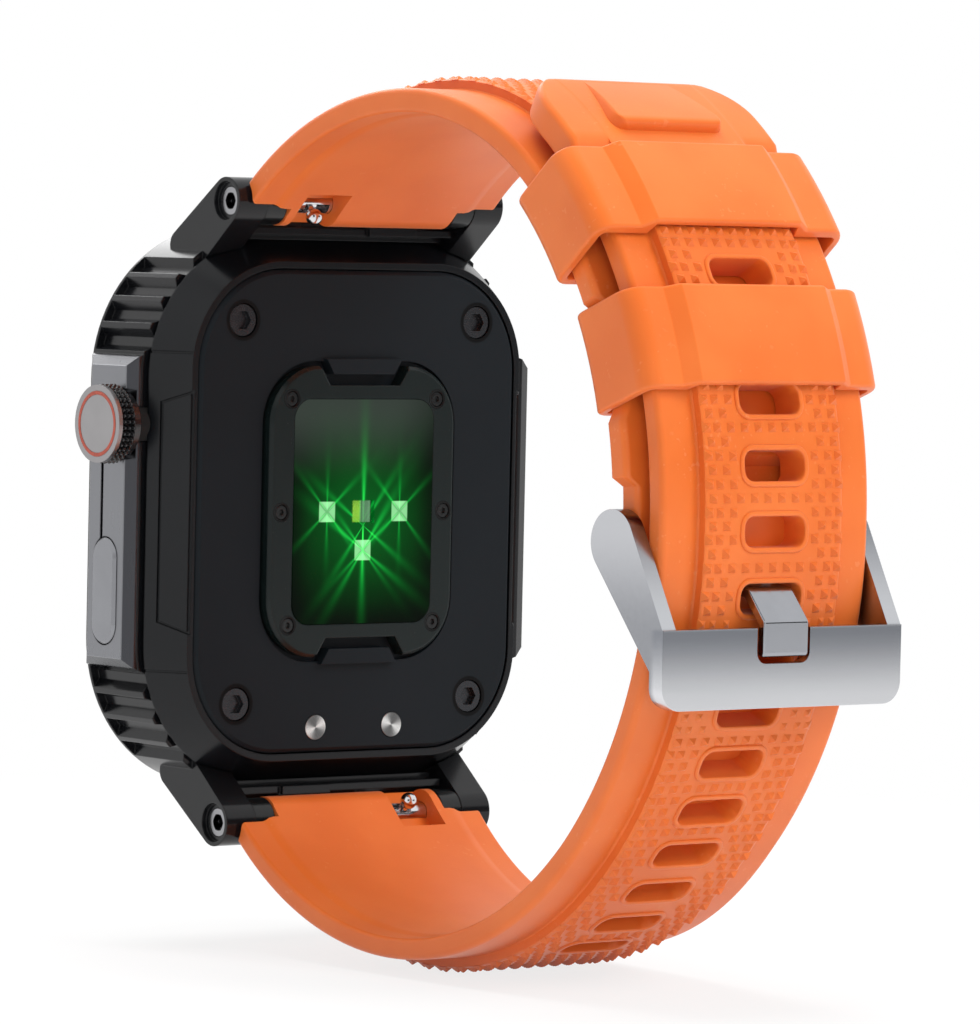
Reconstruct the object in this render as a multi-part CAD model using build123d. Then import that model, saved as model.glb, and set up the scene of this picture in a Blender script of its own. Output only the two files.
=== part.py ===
from build123d import *
import os
from math import asin, atan, cos, degrees, hypot, radians, sin, sqrt

# GPS running watch with a buckled silicone strap.  Millimetres, +X to the crown side,
# -Y out of the display, +Z to 12 o'clock.  The origin is the centre of the sensor
# window's outer face, which rests on the wrist.

# ---------------------------------------------------------------- driving sizes
case_w = 40.0             # front frame across, without the side blocks
case_h = 48.0             # front frame from 6 to 12 o'clock
case_corner_r = 13.0
back_y = -0.8             # outer face of the back cover
frame_back_y = -4.7       # rear edge of the front frame
frame_front_y = -13.3     # front edge of the bezel
wall = 1.6                # front frame wall
body_wall = 1.8           # wall of the body tub inside the frame
fit_gap = 0.1             # between nested shells
turn_gap = 0.03           # radial running clearance of stems and pins

cover_w, cover_h, cover_r = 33.4, 41.0, 8.5
cover_t = 1.5
gasket_t = 0.3
ring_w, ring_h, ring_r = 19.6, 24.8, 5.0
window_w, window_h, window_r = 14.65, 19.1, 1.8
window_t = 0.5
glass_t = 1.0
lip_t = 1.1               # bezel lip over the glass

lug_gap = 22.0            # between the ears, the strap size
ear_t = 3.0
ear_r = 2.0
lug_y = -1.5
lug_over = 2.2            # lug axis beyond the end of the case
sleeve_l = 2.0

loop_y, loop_z = 20.1, -5.9   # centre of the long strap's wrist arc
lap_y, lap_z = 13.7, 2.1      # centre of the flatter arc where the straps lie over each other
lap_in_r = 34.0               # short strap's inner face on that arc
lap_end_deg = 47.5            # where the tighter arc over the top starts
top_z = 33.4                  # highest point of the short strap's inner face
strap_end_r = 2.0
rim_t = 2.2               # strap at its smooth rims
panel_h = 0.9             # raised middle panel
panel_w = 14.1
lap_gap = 0.15            # between the two strap layers
lap_rim_t = 2.0           # outer strap at its rims
end_w = 26.2              # both straps beside the lugs
short_w = 23.6            # short strap at the keepers
long_w = 21.4             # long strap from its middle to its tip
taper_y = 41.0            # where both tapers end
blend_deg = 50.0          # where the long strap leaves its wrist arc
tip_deg = 65.5
tip_corner_r = 5.2
tip_t = 2.8               # smooth end of the long strap, beyond the loose keeper
pad_deg = 49.0            # the thumb pad runs from here to the tip
thumb_pad_w, thumb_pad_h = 12.0, 1.0
slot_w, slot_h = 6.2, 2.5
tongue_slot_s = -4.85     # the slot in use, as a length along the strap
slot_up, slots_up = 4.9, 5        # spacing towards the tip
slot_down, slots_down = 4.35, 8   # spacing towards the lug
slot_floor_t = 0.5        # thin floor left in the slots below the one in use

keeper_t = 0.85
keeper_gap = 0.2
keeper_l = 8.3
keeper_corner_r = 1.4
fixed_keeper_deg = 20.7
loose_keeper_deg = 40.0
notch_w = 22.2            # short strap inside the fixed keeper

pivot_z = 0.1             # spring bar of the buckle
bar_r = 0.65
bar_tip_r = 0.38
arm_t = 1.4
arm_r = 2.6
buckle_gap = 0.2          # between the long strap and the buckle arms
plate_t = 1.2             # front bar of the buckle
plate_side_t = 1.6        # its thicker ends
plate_y = 54.1            # its inner face
plate_top_z = -6.4
plate_low_z = -12.7
tongue_w = 4.2
tongue_t = 0.8

pin_tube_r = 0.9
pin_rod_r = 0.55
pin_tip_r = 0.4
pin_tip_l = 1.25
knob_x = 5.7
knob_travel = 1.3
knob_r = 0.72
knob_deg = -43.0          # the release knob leans towards the wrist and the case

crown_y, crown_z = -6.0, 7.3
crown_r = 3.3
crown_travel = 0.4
stem_r = 0.85
tube_r = 1.9
block_x = 21.2            # face of the crown side block
guard_x = 21.7            # face of the 9 o'clock block
block_z = -0.15           # middle of both blocks
button_y, button_z = -7.85, -6.85
button_w, button_l = 3.4, 9.0
button_travel = 0.4
shank_r = 0.7

# ---------------------------------------------------------------- derived sizes
in_w = case_w - 2 * wall                  # opening of the front frame
in_h = case_h - 2 * wall
tub_w = in_w - 2 * fit_gap
tub_h = in_h - 2 * fit_gap
tub_r = case_corner_r - wall
seat_y = back_y - cover_t - gasket_t      # the back gasket's seat in the body
glass_y = frame_front_y + lip_t + glass_t   # rear face of the cover glass
tub_front_y = glass_y + 0.2
flange_y = frame_back_y + 0.4
lug_z = case_h / 2 + lug_over
strap_end_w = lug_gap - 2 * sleeve_l - 0.4
# Short strap: lap arc, then the top arc up to its highest point, then the arc down to the lug.
turn = radians(lap_end_deg)
top_r = (top_z - lap_z - lap_in_r * sin(turn)) / (1 - sin(turn))
top_arc = (lap_y + (lap_in_r - top_r) * cos(turn), top_z - top_r)
drop = top_z - lug_z
hang_r = ((top_arc[0] - lug_y) ** 2 + drop ** 2 - strap_end_r ** 2) / (2 * (drop + strap_end_r))
hang_arc = (top_arc[0], top_z - hang_r)
hang_deg = 180 - degrees(asin((lug_z - hang_arc[1]) / (hang_r + strap_end_r)))
lap_arc = (lap_y, lap_z)
# Long strap: wrist arc from its lug, a blend arc to the upright stretch, then over the short strap.
loop_arc = (loop_y, loop_z)
loop_r = hypot(loop_y - lug_y, lug_z + loop_z) - strap_end_r
loop_deg = degrees(asin((lug_z + loop_z) / (loop_r + strap_end_r))) - 180
lap_step = rim_t + panel_h + lap_gap      # height of the long strap's inner face over the short one's
lap_face_y = lap_y + lap_in_r + lap_step
blend = radians(blend_deg)
blend_r = (lap_face_y - loop_y - loop_r * cos(blend)) / (1 - cos(blend))
blend_arc = (lap_face_y - blend_r, loop_z + (blend_r - loop_r) * sin(blend))
pivot_r = lap_in_r + rim_t / 2
pivot_deg = degrees(asin((pivot_z - lap_z) / pivot_r))
pivot_y = lap_y + pivot_r * cos(radians(pivot_deg))
arm_x = long_w / 2 + buckle_gap


# ---------------------------------------------------------------- helpers
def face_plane(y):
    """Plane across the case at depth y: local x is +X, local y is +Z, extrudes towards the display."""
    return Plane(origin=(0, y, 0), x_dir=(1, 0, 0), z_dir=(0, -1, 0))


def slab(sketch, y_rear, depth):
    """Solid from y_rear towards the display."""
    return extrude(face_plane(y_rear) * sketch, amount=depth, dir=(0, -1, 0))


def along_x(sketch, x0, x1):
    """Solid of a side profile (local x is Y, local y is Z) between two X places."""
    plane = Plane(origin=(x0, 0, 0), x_dir=(0, 1, 0), z_dir=(1, 0, 0))
    return extrude(plane * sketch, amount=x1 - x0, dir=(1, 0, 0))


def rod(y, z, r, x0, x1):
    return along_x(Pos(y, z) * Circle(r), x0, x1)


def pin_y(x, z, r, y_rear, depth):
    return slab(Pos(x, z) * Circle(r), y_rear, depth)


def box(x0, x1, y0, y1, z0, z1):
    return Pos((x0 + x1) / 2, (y0 + y1) / 2, (z0 + z1) / 2) * Box(x1 - x0, y1 - y0, z1 - z0)


def ends(shape):
    """A piece and its twin at the other end of the case, turned about the Y axis."""
    return [shape, Rot(0, 180, 0) * shape]


def sector(centre, r0, r1, deg0, deg1):
    """Band between two radii, from deg0 to deg1 about a centre in the side view."""
    inner = CenterArc(centre, r0, deg0, deg1 - deg0)
    outer = CenterArc(centre, r1, deg0, deg1 - deg0)
    return make_face([inner, Line(inner @ 1, outer @ 1), outer, Line(outer @ 0, inner @ 0)])


def capsule(p, q, width):
    """Straight bar with round ends between two points."""
    length = hypot(q[0] - p[0], q[1] - p[1])
    turn = degrees(atan((q[1] - p[1]) / (q[0] - p[0]))) if abs(q[0] - p[0]) > 1e-6 else 90.0
    middle = Pos((p[0] + q[0]) / 2, (p[1] + q[1]) / 2)
    return middle * Rot(0, 0, turn) * SlotCenterToCenter(length, width)


def hex_cut(x, z, flats, y_rear, depth):
    return slab(Pos(x, z) * RegularPolygon(flats / sqrt(3), 6), y_rear, depth)


parts = {}

# ---------------------------------------------------------------- back of the case
screw_x, screw_z = 12.4, 16.2
screw_head_r, screw_head_t = 1.35, 0.75
screw_shank_r = 0.65
screw_seat_y = back_y - 0.1 - screw_head_t
screw_end_y = seat_y - 3.0
boss_r = 1.9
ring_face_y = -0.05
ring_seat_y = back_y - 0.65
notch_half, notch_z = 4.9, 10.75
tab_half, tab_t = 4.0, 1.3
ledge_w, ledge_h = 13.2, 17.6             # opening of the ring behind the window
ring_screw_r = 0.6
ring_screws = [(7.7, 9.6), (8.6, 0.0), (7.7, -9.6), (-7.7, 9.6), (-8.6, 0.0), (-7.7, -9.6)]
pad_x, pad_z, pad_r = 4.04, -18.4, 1.05
board_y = seat_y - 1.0                    # rear face of the main board


def case_screws():
    shapes = []
    for x in (-screw_x, screw_x):
        for z in (-screw_z, screw_z):
            screw = pin_y(x, z, screw_head_r, back_y - 0.1, screw_head_t)
            screw += pin_y(x, z, screw_shank_r, screw_seat_y, screw_seat_y - screw_end_y)
            shapes.append(screw - hex_cut(x, z, 1.5, back_y - 0.1, 0.5))
    return shapes


def back_cover():
    cover = slab(RectangleRounded(cover_w, cover_h, cover_r), back_y, cover_t)
    cover = chamfer(cover.faces().sort_by(Axis.Y)[-1].edges(), 0.35)
    cover -= slab(RectangleRounded(ring_w + 0.8, ring_h + 0.8, ring_r + 0.4), back_y, back_y - ring_seat_y)
    tab = Polygon((-tab_half, 0), (tab_half, 0), (tab_half - 0.8, -tab_t), (-tab_half + 0.8, -tab_t), align=None)
    for side in (1, -1):
        place = Pos(0, side * (ring_h / 2 + 0.6)) * Rot(0, 0, 0 if side > 0 else 180)
        cover += slab(place * tab, ring_face_y - 0.15, ring_face_y - 0.15 - ring_seat_y)
    cover -= slab(Rectangle(ledge_w - 2, ledge_h - 2), back_y, cover_t)
    for x in (-screw_x, screw_x):
        for z in (-screw_z, screw_z):
            cover -= pin_y(x, z, screw_head_r + 0.08, back_y, back_y - screw_seat_y)
            cover -= pin_y(x, z, screw_shank_r + fit_gap, back_y, cover_t)
    for x, z in ring_screws:
        cover -= pin_y(x, z, 0.4, ring_seat_y, 0.6)
    for x in (-pad_x, pad_x):
        cover -= pin_y(x, pad_z, pad_r + 0.05, back_y, 0.55)
        cover -= pin_y(x, pad_z, 0.65, back_y, cover_t)
    return cover


def sensor_ring():
    ring = slab(RectangleRounded(ring_w, ring_h, ring_r), ring_face_y, ring_face_y - ring_seat_y)
    ring = chamfer(ring.faces().sort_by(Axis.Y)[-1].edges(), 0.3)
    ring -= slab(RectangleRounded(window_w + 0.1, window_h + 0.1, window_r), ring_face_y, window_t + ring_face_y)
    ring -= slab(RectangleRounded(ledge_w, ledge_h, window_r), ring_face_y, 2.0)
    bite = Polygon((-notch_half, 0), (notch_half, 0), (notch_half - 1.2, -1.9), (1.2 - notch_half, -1.9), align=None)
    for side in (1, -1):
        place = Pos(0, side * (notch_z + 1.9)) * Rot(0, 0, 0 if side > 0 else 180)
        ring -= slab(place * bite, ring_face_y, 2.0)
    for x, z in ring_screws:
        ring -= pin_y(x, z, ring_screw_r + 0.06, ring_face_y, 0.45)
        ring -= pin_y(x, z, 0.4, ring_face_y, 2.0)
    return ring


def ring_screw(x, z):
    screw = pin_y(x, z, ring_screw_r, ring_face_y - 0.05, 0.4)
    screw += pin_y(x, z, 0.35, ring_face_y - 0.05, 1.85)
    return screw - pin_y(x, z, 0.25, ring_face_y - 0.05, 0.2)


parts["back_cover"] = back_cover()
parts["back_screws"] = case_screws()
parts["sensor_ring"] = sensor_ring()
parts["ring_screws"] = [ring_screw(x, z) for x, z in ring_screws]
parts["sensor_window"] = slab(RectangleRounded(window_w, window_h, window_r - 0.05), 0, window_t)

# The pulse sensor's board stands on the cover's floor, close behind the window.
led_y = -window_t - 0.05
led_t = 0.35
led_places = [(3.85, 0.0), (-3.85, 0.0), (0.0, -3.3)]
board_outline = RectangleRounded(ledge_w - 0.2, ledge_h - 0.2, window_r)
parts["sensor_board"] = slab(board_outline, led_y - led_t, led_y - led_t - ring_seat_y)
parts["sensor_leds"] = [slab(Pos(x, z) * Rectangle(1.7, 1.9), led_y, led_t) for x, z in led_places]
parts["light_detector"] = slab(Rectangle(2.3, 1.9), led_y, led_t)

pads = []
for x in (-pad_x, pad_x):
    pads.append(pin_y(x, pad_z, pad_r, back_y + 0.05, 0.6) + pin_y(x, pad_z, 0.6, back_y, back_y - board_y - 0.05))
parts["charging_pins"] = pads

gasket = RectangleRounded(cover_w - 0.4, cover_h - 0.4, cover_r - 0.2)
gasket -= RectangleRounded(cover_w - 1.8, cover_h - 1.8, cover_r - 0.9)
parts["back_gasket"] = slab(gasket, seat_y + gasket_t, gasket_t)


# ---------------------------------------------------------------- case body
def flange(grow=0.0):
    """Bevelled rear of the body: widest beside the frame, narrowest at the back cover."""
    wide = RectangleRounded(case_w - 0.8 + 2 * grow, case_h - 1.6 + 2 * grow, case_corner_r - 1.0 + grow)
    narrow = RectangleRounded(cover_w + 1.4 + 2 * grow, cover_h + 1.4 + 2 * grow, cover_r + 0.7 + grow)
    return loft([face_plane(flange_y) * wide, face_plane(back_y - 0.2) * narrow], ruled=True)


def seam_cut(side):
    """Shallow outlined panel on the bevel of one long side."""
    rise = (case_w - 0.8 - cover_w - 1.4) / 2
    depth = back_y - 0.2 - flange_y
    middle = (side * (case_w - 0.8 - rise) / 2, flange_y + depth / 2, 0)
    plane = Plane(origin=middle, x_dir=(0, 0, 1), z_dir=(side * depth, rise, 0))
    long = 20.5
    tall = hypot(rise, depth)
    outer = Trapezoid(long, tall * 0.75, 72)
    shift = Pos(0, -side * tall * 0.16)
    turn = Rot(0, 0, 0 if side > 0 else 180)
    outline = shift * turn * (outer - offset(outer, -0.22))
    cut = extrude(plane * outline, amount=-0.25)
    for z in (-13.4, 13.4):
        cut += extrude(plane * (Pos(z, 0) * Rectangle(0.22, tall)), amount=-0.25)
    return cut


def body_shell():
    body = flange()
    body += slab(RectangleRounded(tub_w, tub_h, tub_r), flange_y + 0.5, flange_y + 0.5 - tub_front_y)
    body -= slab(RectangleRounded(cover_w + 2 * fit_gap, cover_h + 2 * fit_gap, cover_r + fit_gap), 0, -seat_y)
    body -= slab(RectangleRounded(cover_w - 2.2, cover_h - 2.2, cover_r - 1.1), seat_y, 3.0)
    inner = RectangleRounded(tub_w - 2 * body_wall, tub_h - 2 * body_wall, tub_r - body_wall)
    body -= slab(inner, seat_y - 2.0, 12.0)
    for x in (-screw_x, screw_x):
        for z in (-screw_z, screw_z):
            corner = box(min(x, 0) * 1.25, max(x, 0) * 1.25, screw_end_y - 0.6, seat_y, z - 1, z + 1)
            boss = pin_y(x, z, boss_r, seat_y, seat_y - screw_end_y + 0.6)
            boss += (corner & slab(Pos(x * 1.15, z * 1.1) * Circle(2.4), seat_y, seat_y - screw_end_y + 0.6))
            body += boss & slab(RectangleRounded(tub_w - 1, tub_h - 1, tub_r - 0.5), seat_y, 8)
            body -= pin_y(x, z, screw_shank_r + 0.05, seat_y, seat_y - screw_end_y + 0.1)
    body -= rod(crown_y, crown_z, tube_r + 0.02, tub_w / 2 - body_wall - 1, case_w / 2)
    body -= rod(button_y, button_z, shank_r + turn_gap, tub_w / 2 - body_wall - 1, tub_w / 2 + 1)
    body -= rod(button_y, button_z, 1.25, tub_w / 2 - 1.1, tub_w / 2 + 1)
    for side in (1, -1):
        body -= seam_cut(side)
    return body


# ---------------------------------------------------------------- front frame
groove_degs = [15.0, 26.0, 37.0, 48.0]


def side_block(side, face_x):
    """Raised block on a long side of the frame, bevelled all round."""
    base_x = case_w / 2 - 1.0
    plane0 = Plane(origin=(side * base_x, 0, 0), x_dir=(0, 1, 0), z_dir=(1, 0, 0))
    plane1 = Plane(origin=(side * face_x, 0, 0), x_dir=(0, 1, 0), z_dir=(1, 0, 0))
    base = Pos(frame_back_y - 4.0, block_z) * Rectangle(8.0, 27.2)
    top = Pos(frame_back_y - 3.1, block_z) * Rectangle(5.0, 24.6)
    low = Pos(frame_back_y - 3.6, block_z) * Rectangle(7.0, 26.2)
    middle = Plane(origin=(side * (face_x - 1.0), 0, 0), x_dir=(0, 1, 0), z_dir=(1, 0, 0))
    step = loft([middle * low, plane1 * top], ruled=True)
    return step + loft([plane0 * base, middle * low], ruled=True)


def ear(x0, x1):
    """Lug ear with its round head on the strap screw's axis."""
    head = Pos(lug_y, lug_z) * Circle(ear_r)
    root = Pos(frame_back_y - 3.6, case_h / 2 - 1.6) * Circle(1.2)
    heel = Pos(frame_back_y - 0.9, case_h / 2 - 2.6) * Circle(0.9)
    outline = make_hull((head + root + heel).edges())
    return along_x(outline, x0, x1)


def corner_grooves():
    """Upright grooves round the four corners."""
    cuts = []
    groove = Polygon((0.3, 1.25), (-0.75, 0.4), (-0.75, -0.4), (0.3, -1.25), align=None)
    for sx in (1, -1):
        for sz in (1, -1):
            for deg in groove_degs:
                a = radians(deg)
                x = sx * (case_w / 2 - case_corner_r + case_corner_r * cos(a))
                z = sz * (case_h / 2 - case_corner_r + case_corner_r * sin(a))
                turn = Rot(0, 0, sx * sz * deg + (0 if sx > 0 else 180))
                cuts.append(slab(Pos(x, z) * turn * groove, frame_back_y + 1, 8.2))
    return cuts


def front_frame():
    depth = frame_back_y - frame_front_y
    frame = slab(RectangleRounded(case_w, case_h, case_corner_r), frame_back_y, depth)
    frame = chamfer(frame.faces().sort_by(Axis.Y)[0].edges(), 1.1)
    frame -= corner_grooves()
    frame += side_block(1, block_x)
    frame += side_block(-1, guard_x)
    for x0 in (lug_gap / 2, -lug_gap / 2 - ear_t):
        for shape in ends(ear(x0, x0 + ear_t)):
            frame += shape
    ledge = box(-10.6, 10.6, frame_back_y - 0.5, -2.3, case_h / 2 - 0.55, case_h / 2 + 0.05)
    ledge += box(-6.5, -1.5, frame_back_y - 0.5, -1.9, case_h / 2 - 0.55, case_h / 2 + 0.2)
    ledge += box(-10.6, 10.6, frame_back_y - 0.5, -3.75, case_h / 2 - 1.0, case_h / 2 + 1.05)
    for shape in ends(ledge):
        frame += shape
    frame -= flange(fit_gap)
    frame -= slab(RectangleRounded(in_w, in_h, tub_r + fit_gap), frame_back_y + 0.6, depth - lip_t + 0.6)
    frame -= slab(RectangleRounded(in_w - 2.4, in_h - 2.4, tub_r - 1.2), frame_back_y, depth + 1)
    for sx in (1, -1):
        for sz in (1, -1):
            outer = sx * (lug_gap / 2 + ear_t)
            inner = sx * lug_gap / 2
            near, far = sorted((outer - sx * 0.45, outer + sx * 0.5))
            frame -= rod(lug_y, sz * lug_z, ear_r - 0.35, near, far)
            near, far = sorted((outer - sx * 1.5, outer))
            frame -= rod(lug_y, sz * lug_z, 1.22, near, far)
            near, far = sorted((inner - sx * 0.5, outer))
            frame -= rod(lug_y, sz * lug_z, 0.7, near, far)
    frame -= rod(crown_y, crown_z, tube_r + 0.02, case_w / 2 - 3, block_x)
    frame -= rod(crown_y, crown_z, 3.05, block_x - 0.85, block_x + 3)
    slot = Pos(button_y, button_z) * Rot(0, 0, 90)
    frame -= along_x(slot * SlotOverall(button_l + 0.2, button_w + 0.2), case_w / 2 - 3, block_x + 1)
    frame -= along_x(slot * SlotOverall(button_l + 1.3, button_w + 1.3), case_w / 2 - 3, block_x - 1.75)
    frame -= box(block_x - 0.3, block_x + 1, button_y - 0.85, button_y - 0.45, button_z, crown_z)
    return frame


parts["body_shell"] = body_shell()
parts["front_frame"] = front_frame()
glass_w, glass_h, glass_r = in_w - 0.4, in_h - 0.4, tub_r - 0.1
parts["cover_glass"] = slab(RectangleRounded(glass_w, glass_h, glass_r), glass_y, glass_t)
panel_r = tub_r - body_wall - 0.5
seal = RectangleRounded(glass_w, glass_h, glass_r)
seal -= RectangleRounded(glass_w - 3.0, glass_h - 3.0, glass_r - 1.5)
parts["glass_seal"] = slab(seal, tub_front_y, tub_front_y - glass_y)
screen_w, screen_h = glass_w - 4.4, glass_h - 4.6
parts["display_panel"] = slab(RectangleRounded(screen_w, screen_h, panel_r), glass_y + 1.3, 1.3)

# ---------------------------------------------------------------- inside the case
hold_y = glass_y + 1.4                    # front face of the inner frame
hold_t = 0.8
inner_w, inner_h = tub_w - 2 * body_wall - 0.4, tub_h - 2 * body_wall - 0.4
holder = RectangleRounded(inner_w, inner_h, tub_r - body_wall - 0.2) - Pos(0, 13.0) * Rectangle(20, 5)
parts["inner_frame"] = slab(holder, hold_y + hold_t, hold_t)
tray_y = hold_y + hold_t + 0.05           # everything inside stands on this plane
board_t = 0.8
board_front_y = board_y - board_t
parts["main_board"] = slab(Pos(0, -0.5) * Rectangle(19.6, 37.4), board_y, board_t)
parts["battery"] = box(-9.5, 9.5, tray_y, board_front_y - 0.1, -17.5, 9.0)
parts["shield_can"] = box(-7.0, 7.0, board_front_y - 1.2, board_front_y, 10.0, 17.6)
parts["gps_antenna"] = box(-5.0, 5.0, tray_y, board_front_y - 1.3, 10.6, 16.6)
parts["vibration_motor"] = box(-15.9, -11.6, tray_y, tray_y + 3.2, -9.5, 2.5)
parts["speaker"] = box(-15.9, -11.6, tray_y, tray_y + 3.0, 3.5, 12.5)
parts["microphone"] = box(-14.6, -11.8, tray_y, tray_y + 1.1, -12.6, -10.6)
flex_x = 13.0
flex_t = 0.5
parts["switch_flex"] = box(flex_x, flex_x + flex_t, tray_y, -4.9, -10.0, 10.0)

# ---------------------------------------------------------------- crown
collar_x = block_x - 0.3
barrel_x = collar_x + 0.8
cap_x = barrel_x + 1.45
cap_t = 0.4
stem_tip_x = 15.0
plunger_x = stem_tip_x - 0.3
plunger_l = 0.65
inlay_r0, inlay_r1 = 2.45, 2.75


def crown_knob():
    knob = rod(crown_y, crown_z, crown_r, barrel_x, cap_x)
    knob += rod(crown_y, crown_z, 2.8, collar_x, barrel_x)
    return knob - rod(crown_y, crown_z, 0.5, cap_x - 1.0, cap_x)


def crown_cap():
    cap = rod(crown_y, crown_z, crown_r - 0.02, cap_x, cap_x + cap_t)
    cap += rod(crown_y, crown_z, 0.48, cap_x - 0.95, cap_x)
    groove = rod(crown_y, crown_z, inlay_r1, cap_x + 0.2, cap_x + cap_t)
    return cap - (groove - rod(crown_y, crown_z, inlay_r0, cap_x, cap_x + cap_t))


def crown_stem():
    stem = rod(crown_y, crown_z, stem_r, stem_tip_x + 0.38, collar_x)
    stem += rod(crown_y, crown_z, 0.4, stem_tip_x, stem_tip_x + 0.38)
    groove = rod(crown_y, crown_z, stem_r, 18.2, 18.9) - rod(crown_y, crown_z, 0.6, 18.2, 18.9)
    return stem - groove


parts["crown_knob"] = crown_knob()
parts["crown_cap"] = crown_cap()
inlay = rod(crown_y, crown_z, inlay_r1, cap_x + 0.2, cap_x + cap_t + 0.02)
parts["crown_inlay"] = inlay - rod(crown_y, crown_z, inlay_r0, cap_x, cap_x + 1)
parts["crown_stem"] = crown_stem()
o_ring = rod(crown_y, crown_z, stem_r + 0.01, 18.25, 18.85)
parts["crown_o_ring"] = o_ring - rod(crown_y, crown_z, 0.6, 18, 19)
tube = rod(crown_y, crown_z, tube_r, tub_w / 2 - body_wall + 0.05, block_x - 0.87)
parts["crown_tube"] = tube - rod(crown_y, crown_z, stem_r + turn_gap, 15, 22)
plunger = rod(crown_y, crown_z, 1.2, plunger_x, plunger_x + plunger_l)
parts["crown_plunger"] = plunger - rod(crown_y, crown_z, 0.4 + turn_gap, stem_tip_x - 0.02, plunger_x + plunger_l)
switch_face_x = plunger_x - crown_travel - 0.05
parts["crown_switch"] = box(flex_x + flex_t, switch_face_x, crown_y - 1.1, crown_y + 1.1, crown_z - 1.6, crown_z + 1.6)

# ---------------------------------------------------------------- side button
button_face_x = block_x + 0.25
shank_end_x = 15.3
pill = Pos(button_y, button_z) * Rot(0, 0, 90)
button = along_x(pill * SlotOverall(button_l, button_w), block_x - 1.85, button_face_x)
button = chamfer(button.faces().sort_by(Axis.X)[-1].edges(), 0.25)
button += along_x(pill * SlotOverall(button_l + 1.0, button_w + 1.0), block_x - 2.3, block_x - 1.85)
button += rod(button_y, button_z, shank_r, shank_end_x, block_x - 2.3)
parts["side_button"] = button
seal = rod(button_y, button_z, 1.23, tub_w / 2 - 1.1, tub_w / 2 - 0.5)
parts["button_seal"] = seal - rod(button_y, button_z, shank_r + turn_gap, 15, 20)
press_x = shank_end_x - button_travel - 0.05
parts["button_switch"] = box(flex_x + flex_t, press_x, button_y - 1.1, button_y + 1.1, button_z - 1.6, button_z + 1.6)


# ---------------------------------------------------------------- lugs and strap bars
def lug_set(make):
    """The same small piece at all four ears."""
    shapes = []
    for sx in (1, -1):
        for sz in (1, -1):
            shapes.append(make(sx, sz))
    return shapes


def lug_screw(sx, sz):
    outer = lug_gap / 2 + ear_t
    tip = lug_gap / 2 - 0.9
    head = rod(lug_y, lug_z, 1.18, outer - 1.5, outer - 0.5)
    screw = head + rod(lug_y, lug_z, 0.65, tip, outer - 1.5)
    socket = Plane(origin=(outer - 1.1, 0, 0), x_dir=(0, 1, 0), z_dir=(1, 0, 0))
    screw -= extrude(socket * (Pos(lug_y, lug_z) * RegularPolygon(0.75, 6)), amount=1)
    if sx < 0:
        screw = mirror(screw, about=Plane.YZ)
    return mirror(screw, about=Plane.XY) if sz < 0 else screw


def lug_sleeve(sx, sz):
    outer = lug_gap / 2 - 0.02
    inner = outer - sleeve_l
    sleeve = rod(lug_y, lug_z, ear_r - 0.05, inner, outer)
    sleeve -= rod(lug_y, lug_z, 0.68, outer - 0.95, outer)
    sleeve -= rod(lug_y, lug_z, pin_tip_r + turn_gap, inner, outer - 0.95)
    if sx < 0:
        sleeve = mirror(sleeve, about=Plane.YZ)
    return mirror(sleeve, about=Plane.XY) if sz < 0 else sleeve


def at_lug(shape):
    """Turns a shape made along +Y to the way that the release knob leans."""
    return Pos(0, lug_y, lug_z) * Rot(knob_deg, 0, 0) * Pos(0, -lug_y, -lug_z) * shape


tube_half = strap_end_w / 2 - 0.1
tip_end = tube_half + pin_tip_l - 0.25
rod_start = knob_x - 0.8


def bar_tube():
    """Spring bar: a tube with one fixed tip, slotted for the release knob."""
    tube = rod(lug_y, lug_z, pin_tube_r, -tube_half, tube_half)
    tube -= rod(lug_y, lug_z, pin_rod_r + 0.05, -3.0, tube_half - 0.3)
    tube -= rod(lug_y, lug_z, pin_tip_r + 0.05, 0, tube_half + 1)
    slot = box(knob_x - 0.6 - knob_travel, knob_x + 0.6, lug_y, lug_y + 2, lug_z - 0.5, lug_z + 0.5)
    tube -= at_lug(slot)
    return tube + rod(lug_y, lug_z, pin_tip_r, -tip_end, -tube_half)


def release_pin():
    """Sliding tip of the spring bar with its finger knob."""
    pin = rod(lug_y, lug_z, pin_rod_r, rod_start, tube_half - 0.35)
    pin += rod(lug_y, lug_z, pin_tip_r, tube_half - 0.35, tip_end)
    stalk = Pos(knob_x, lug_y + 0.7, lug_z) * Rot(90, 0, 0) * Cylinder(0.4, 1.4)
    pin += at_lug(stalk)
    return pin + at_lug(Pos(knob_x, lug_y + 1.75, lug_z) * Sphere(knob_r))


spring = rod(lug_y, lug_z, pin_rod_r, rod_start - knob_travel - 2.9, rod_start - knob_travel - 0.05)
spring -= rod(lug_y, lug_z, pin_rod_r - 0.2, -5, 10)
parts["lug_screws"] = lug_set(lug_screw)
parts["lug_sleeves"] = lug_set(lug_sleeve)
parts["bar_tube_12"], parts["bar_tube_6"] = ends(bar_tube())
parts["release_pin_12"], parts["release_pin_6"] = ends(release_pin())
parts["release_spring_12"], parts["release_spring_6"] = ends(spring)


# ---------------------------------------------------------------- strap
def plan(end_half, half, y_end):
    """Strap outline seen from 12 o'clock: tapers from the lugs to y_end, then keeps its width."""
    far = loop_y + 60
    right = [(end_half, lug_y - 4), (half, y_end), (half, far)]
    left = [(-x, y) for x, y in reversed(right)]
    return Polygon(*right, *left, align=None)


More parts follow.
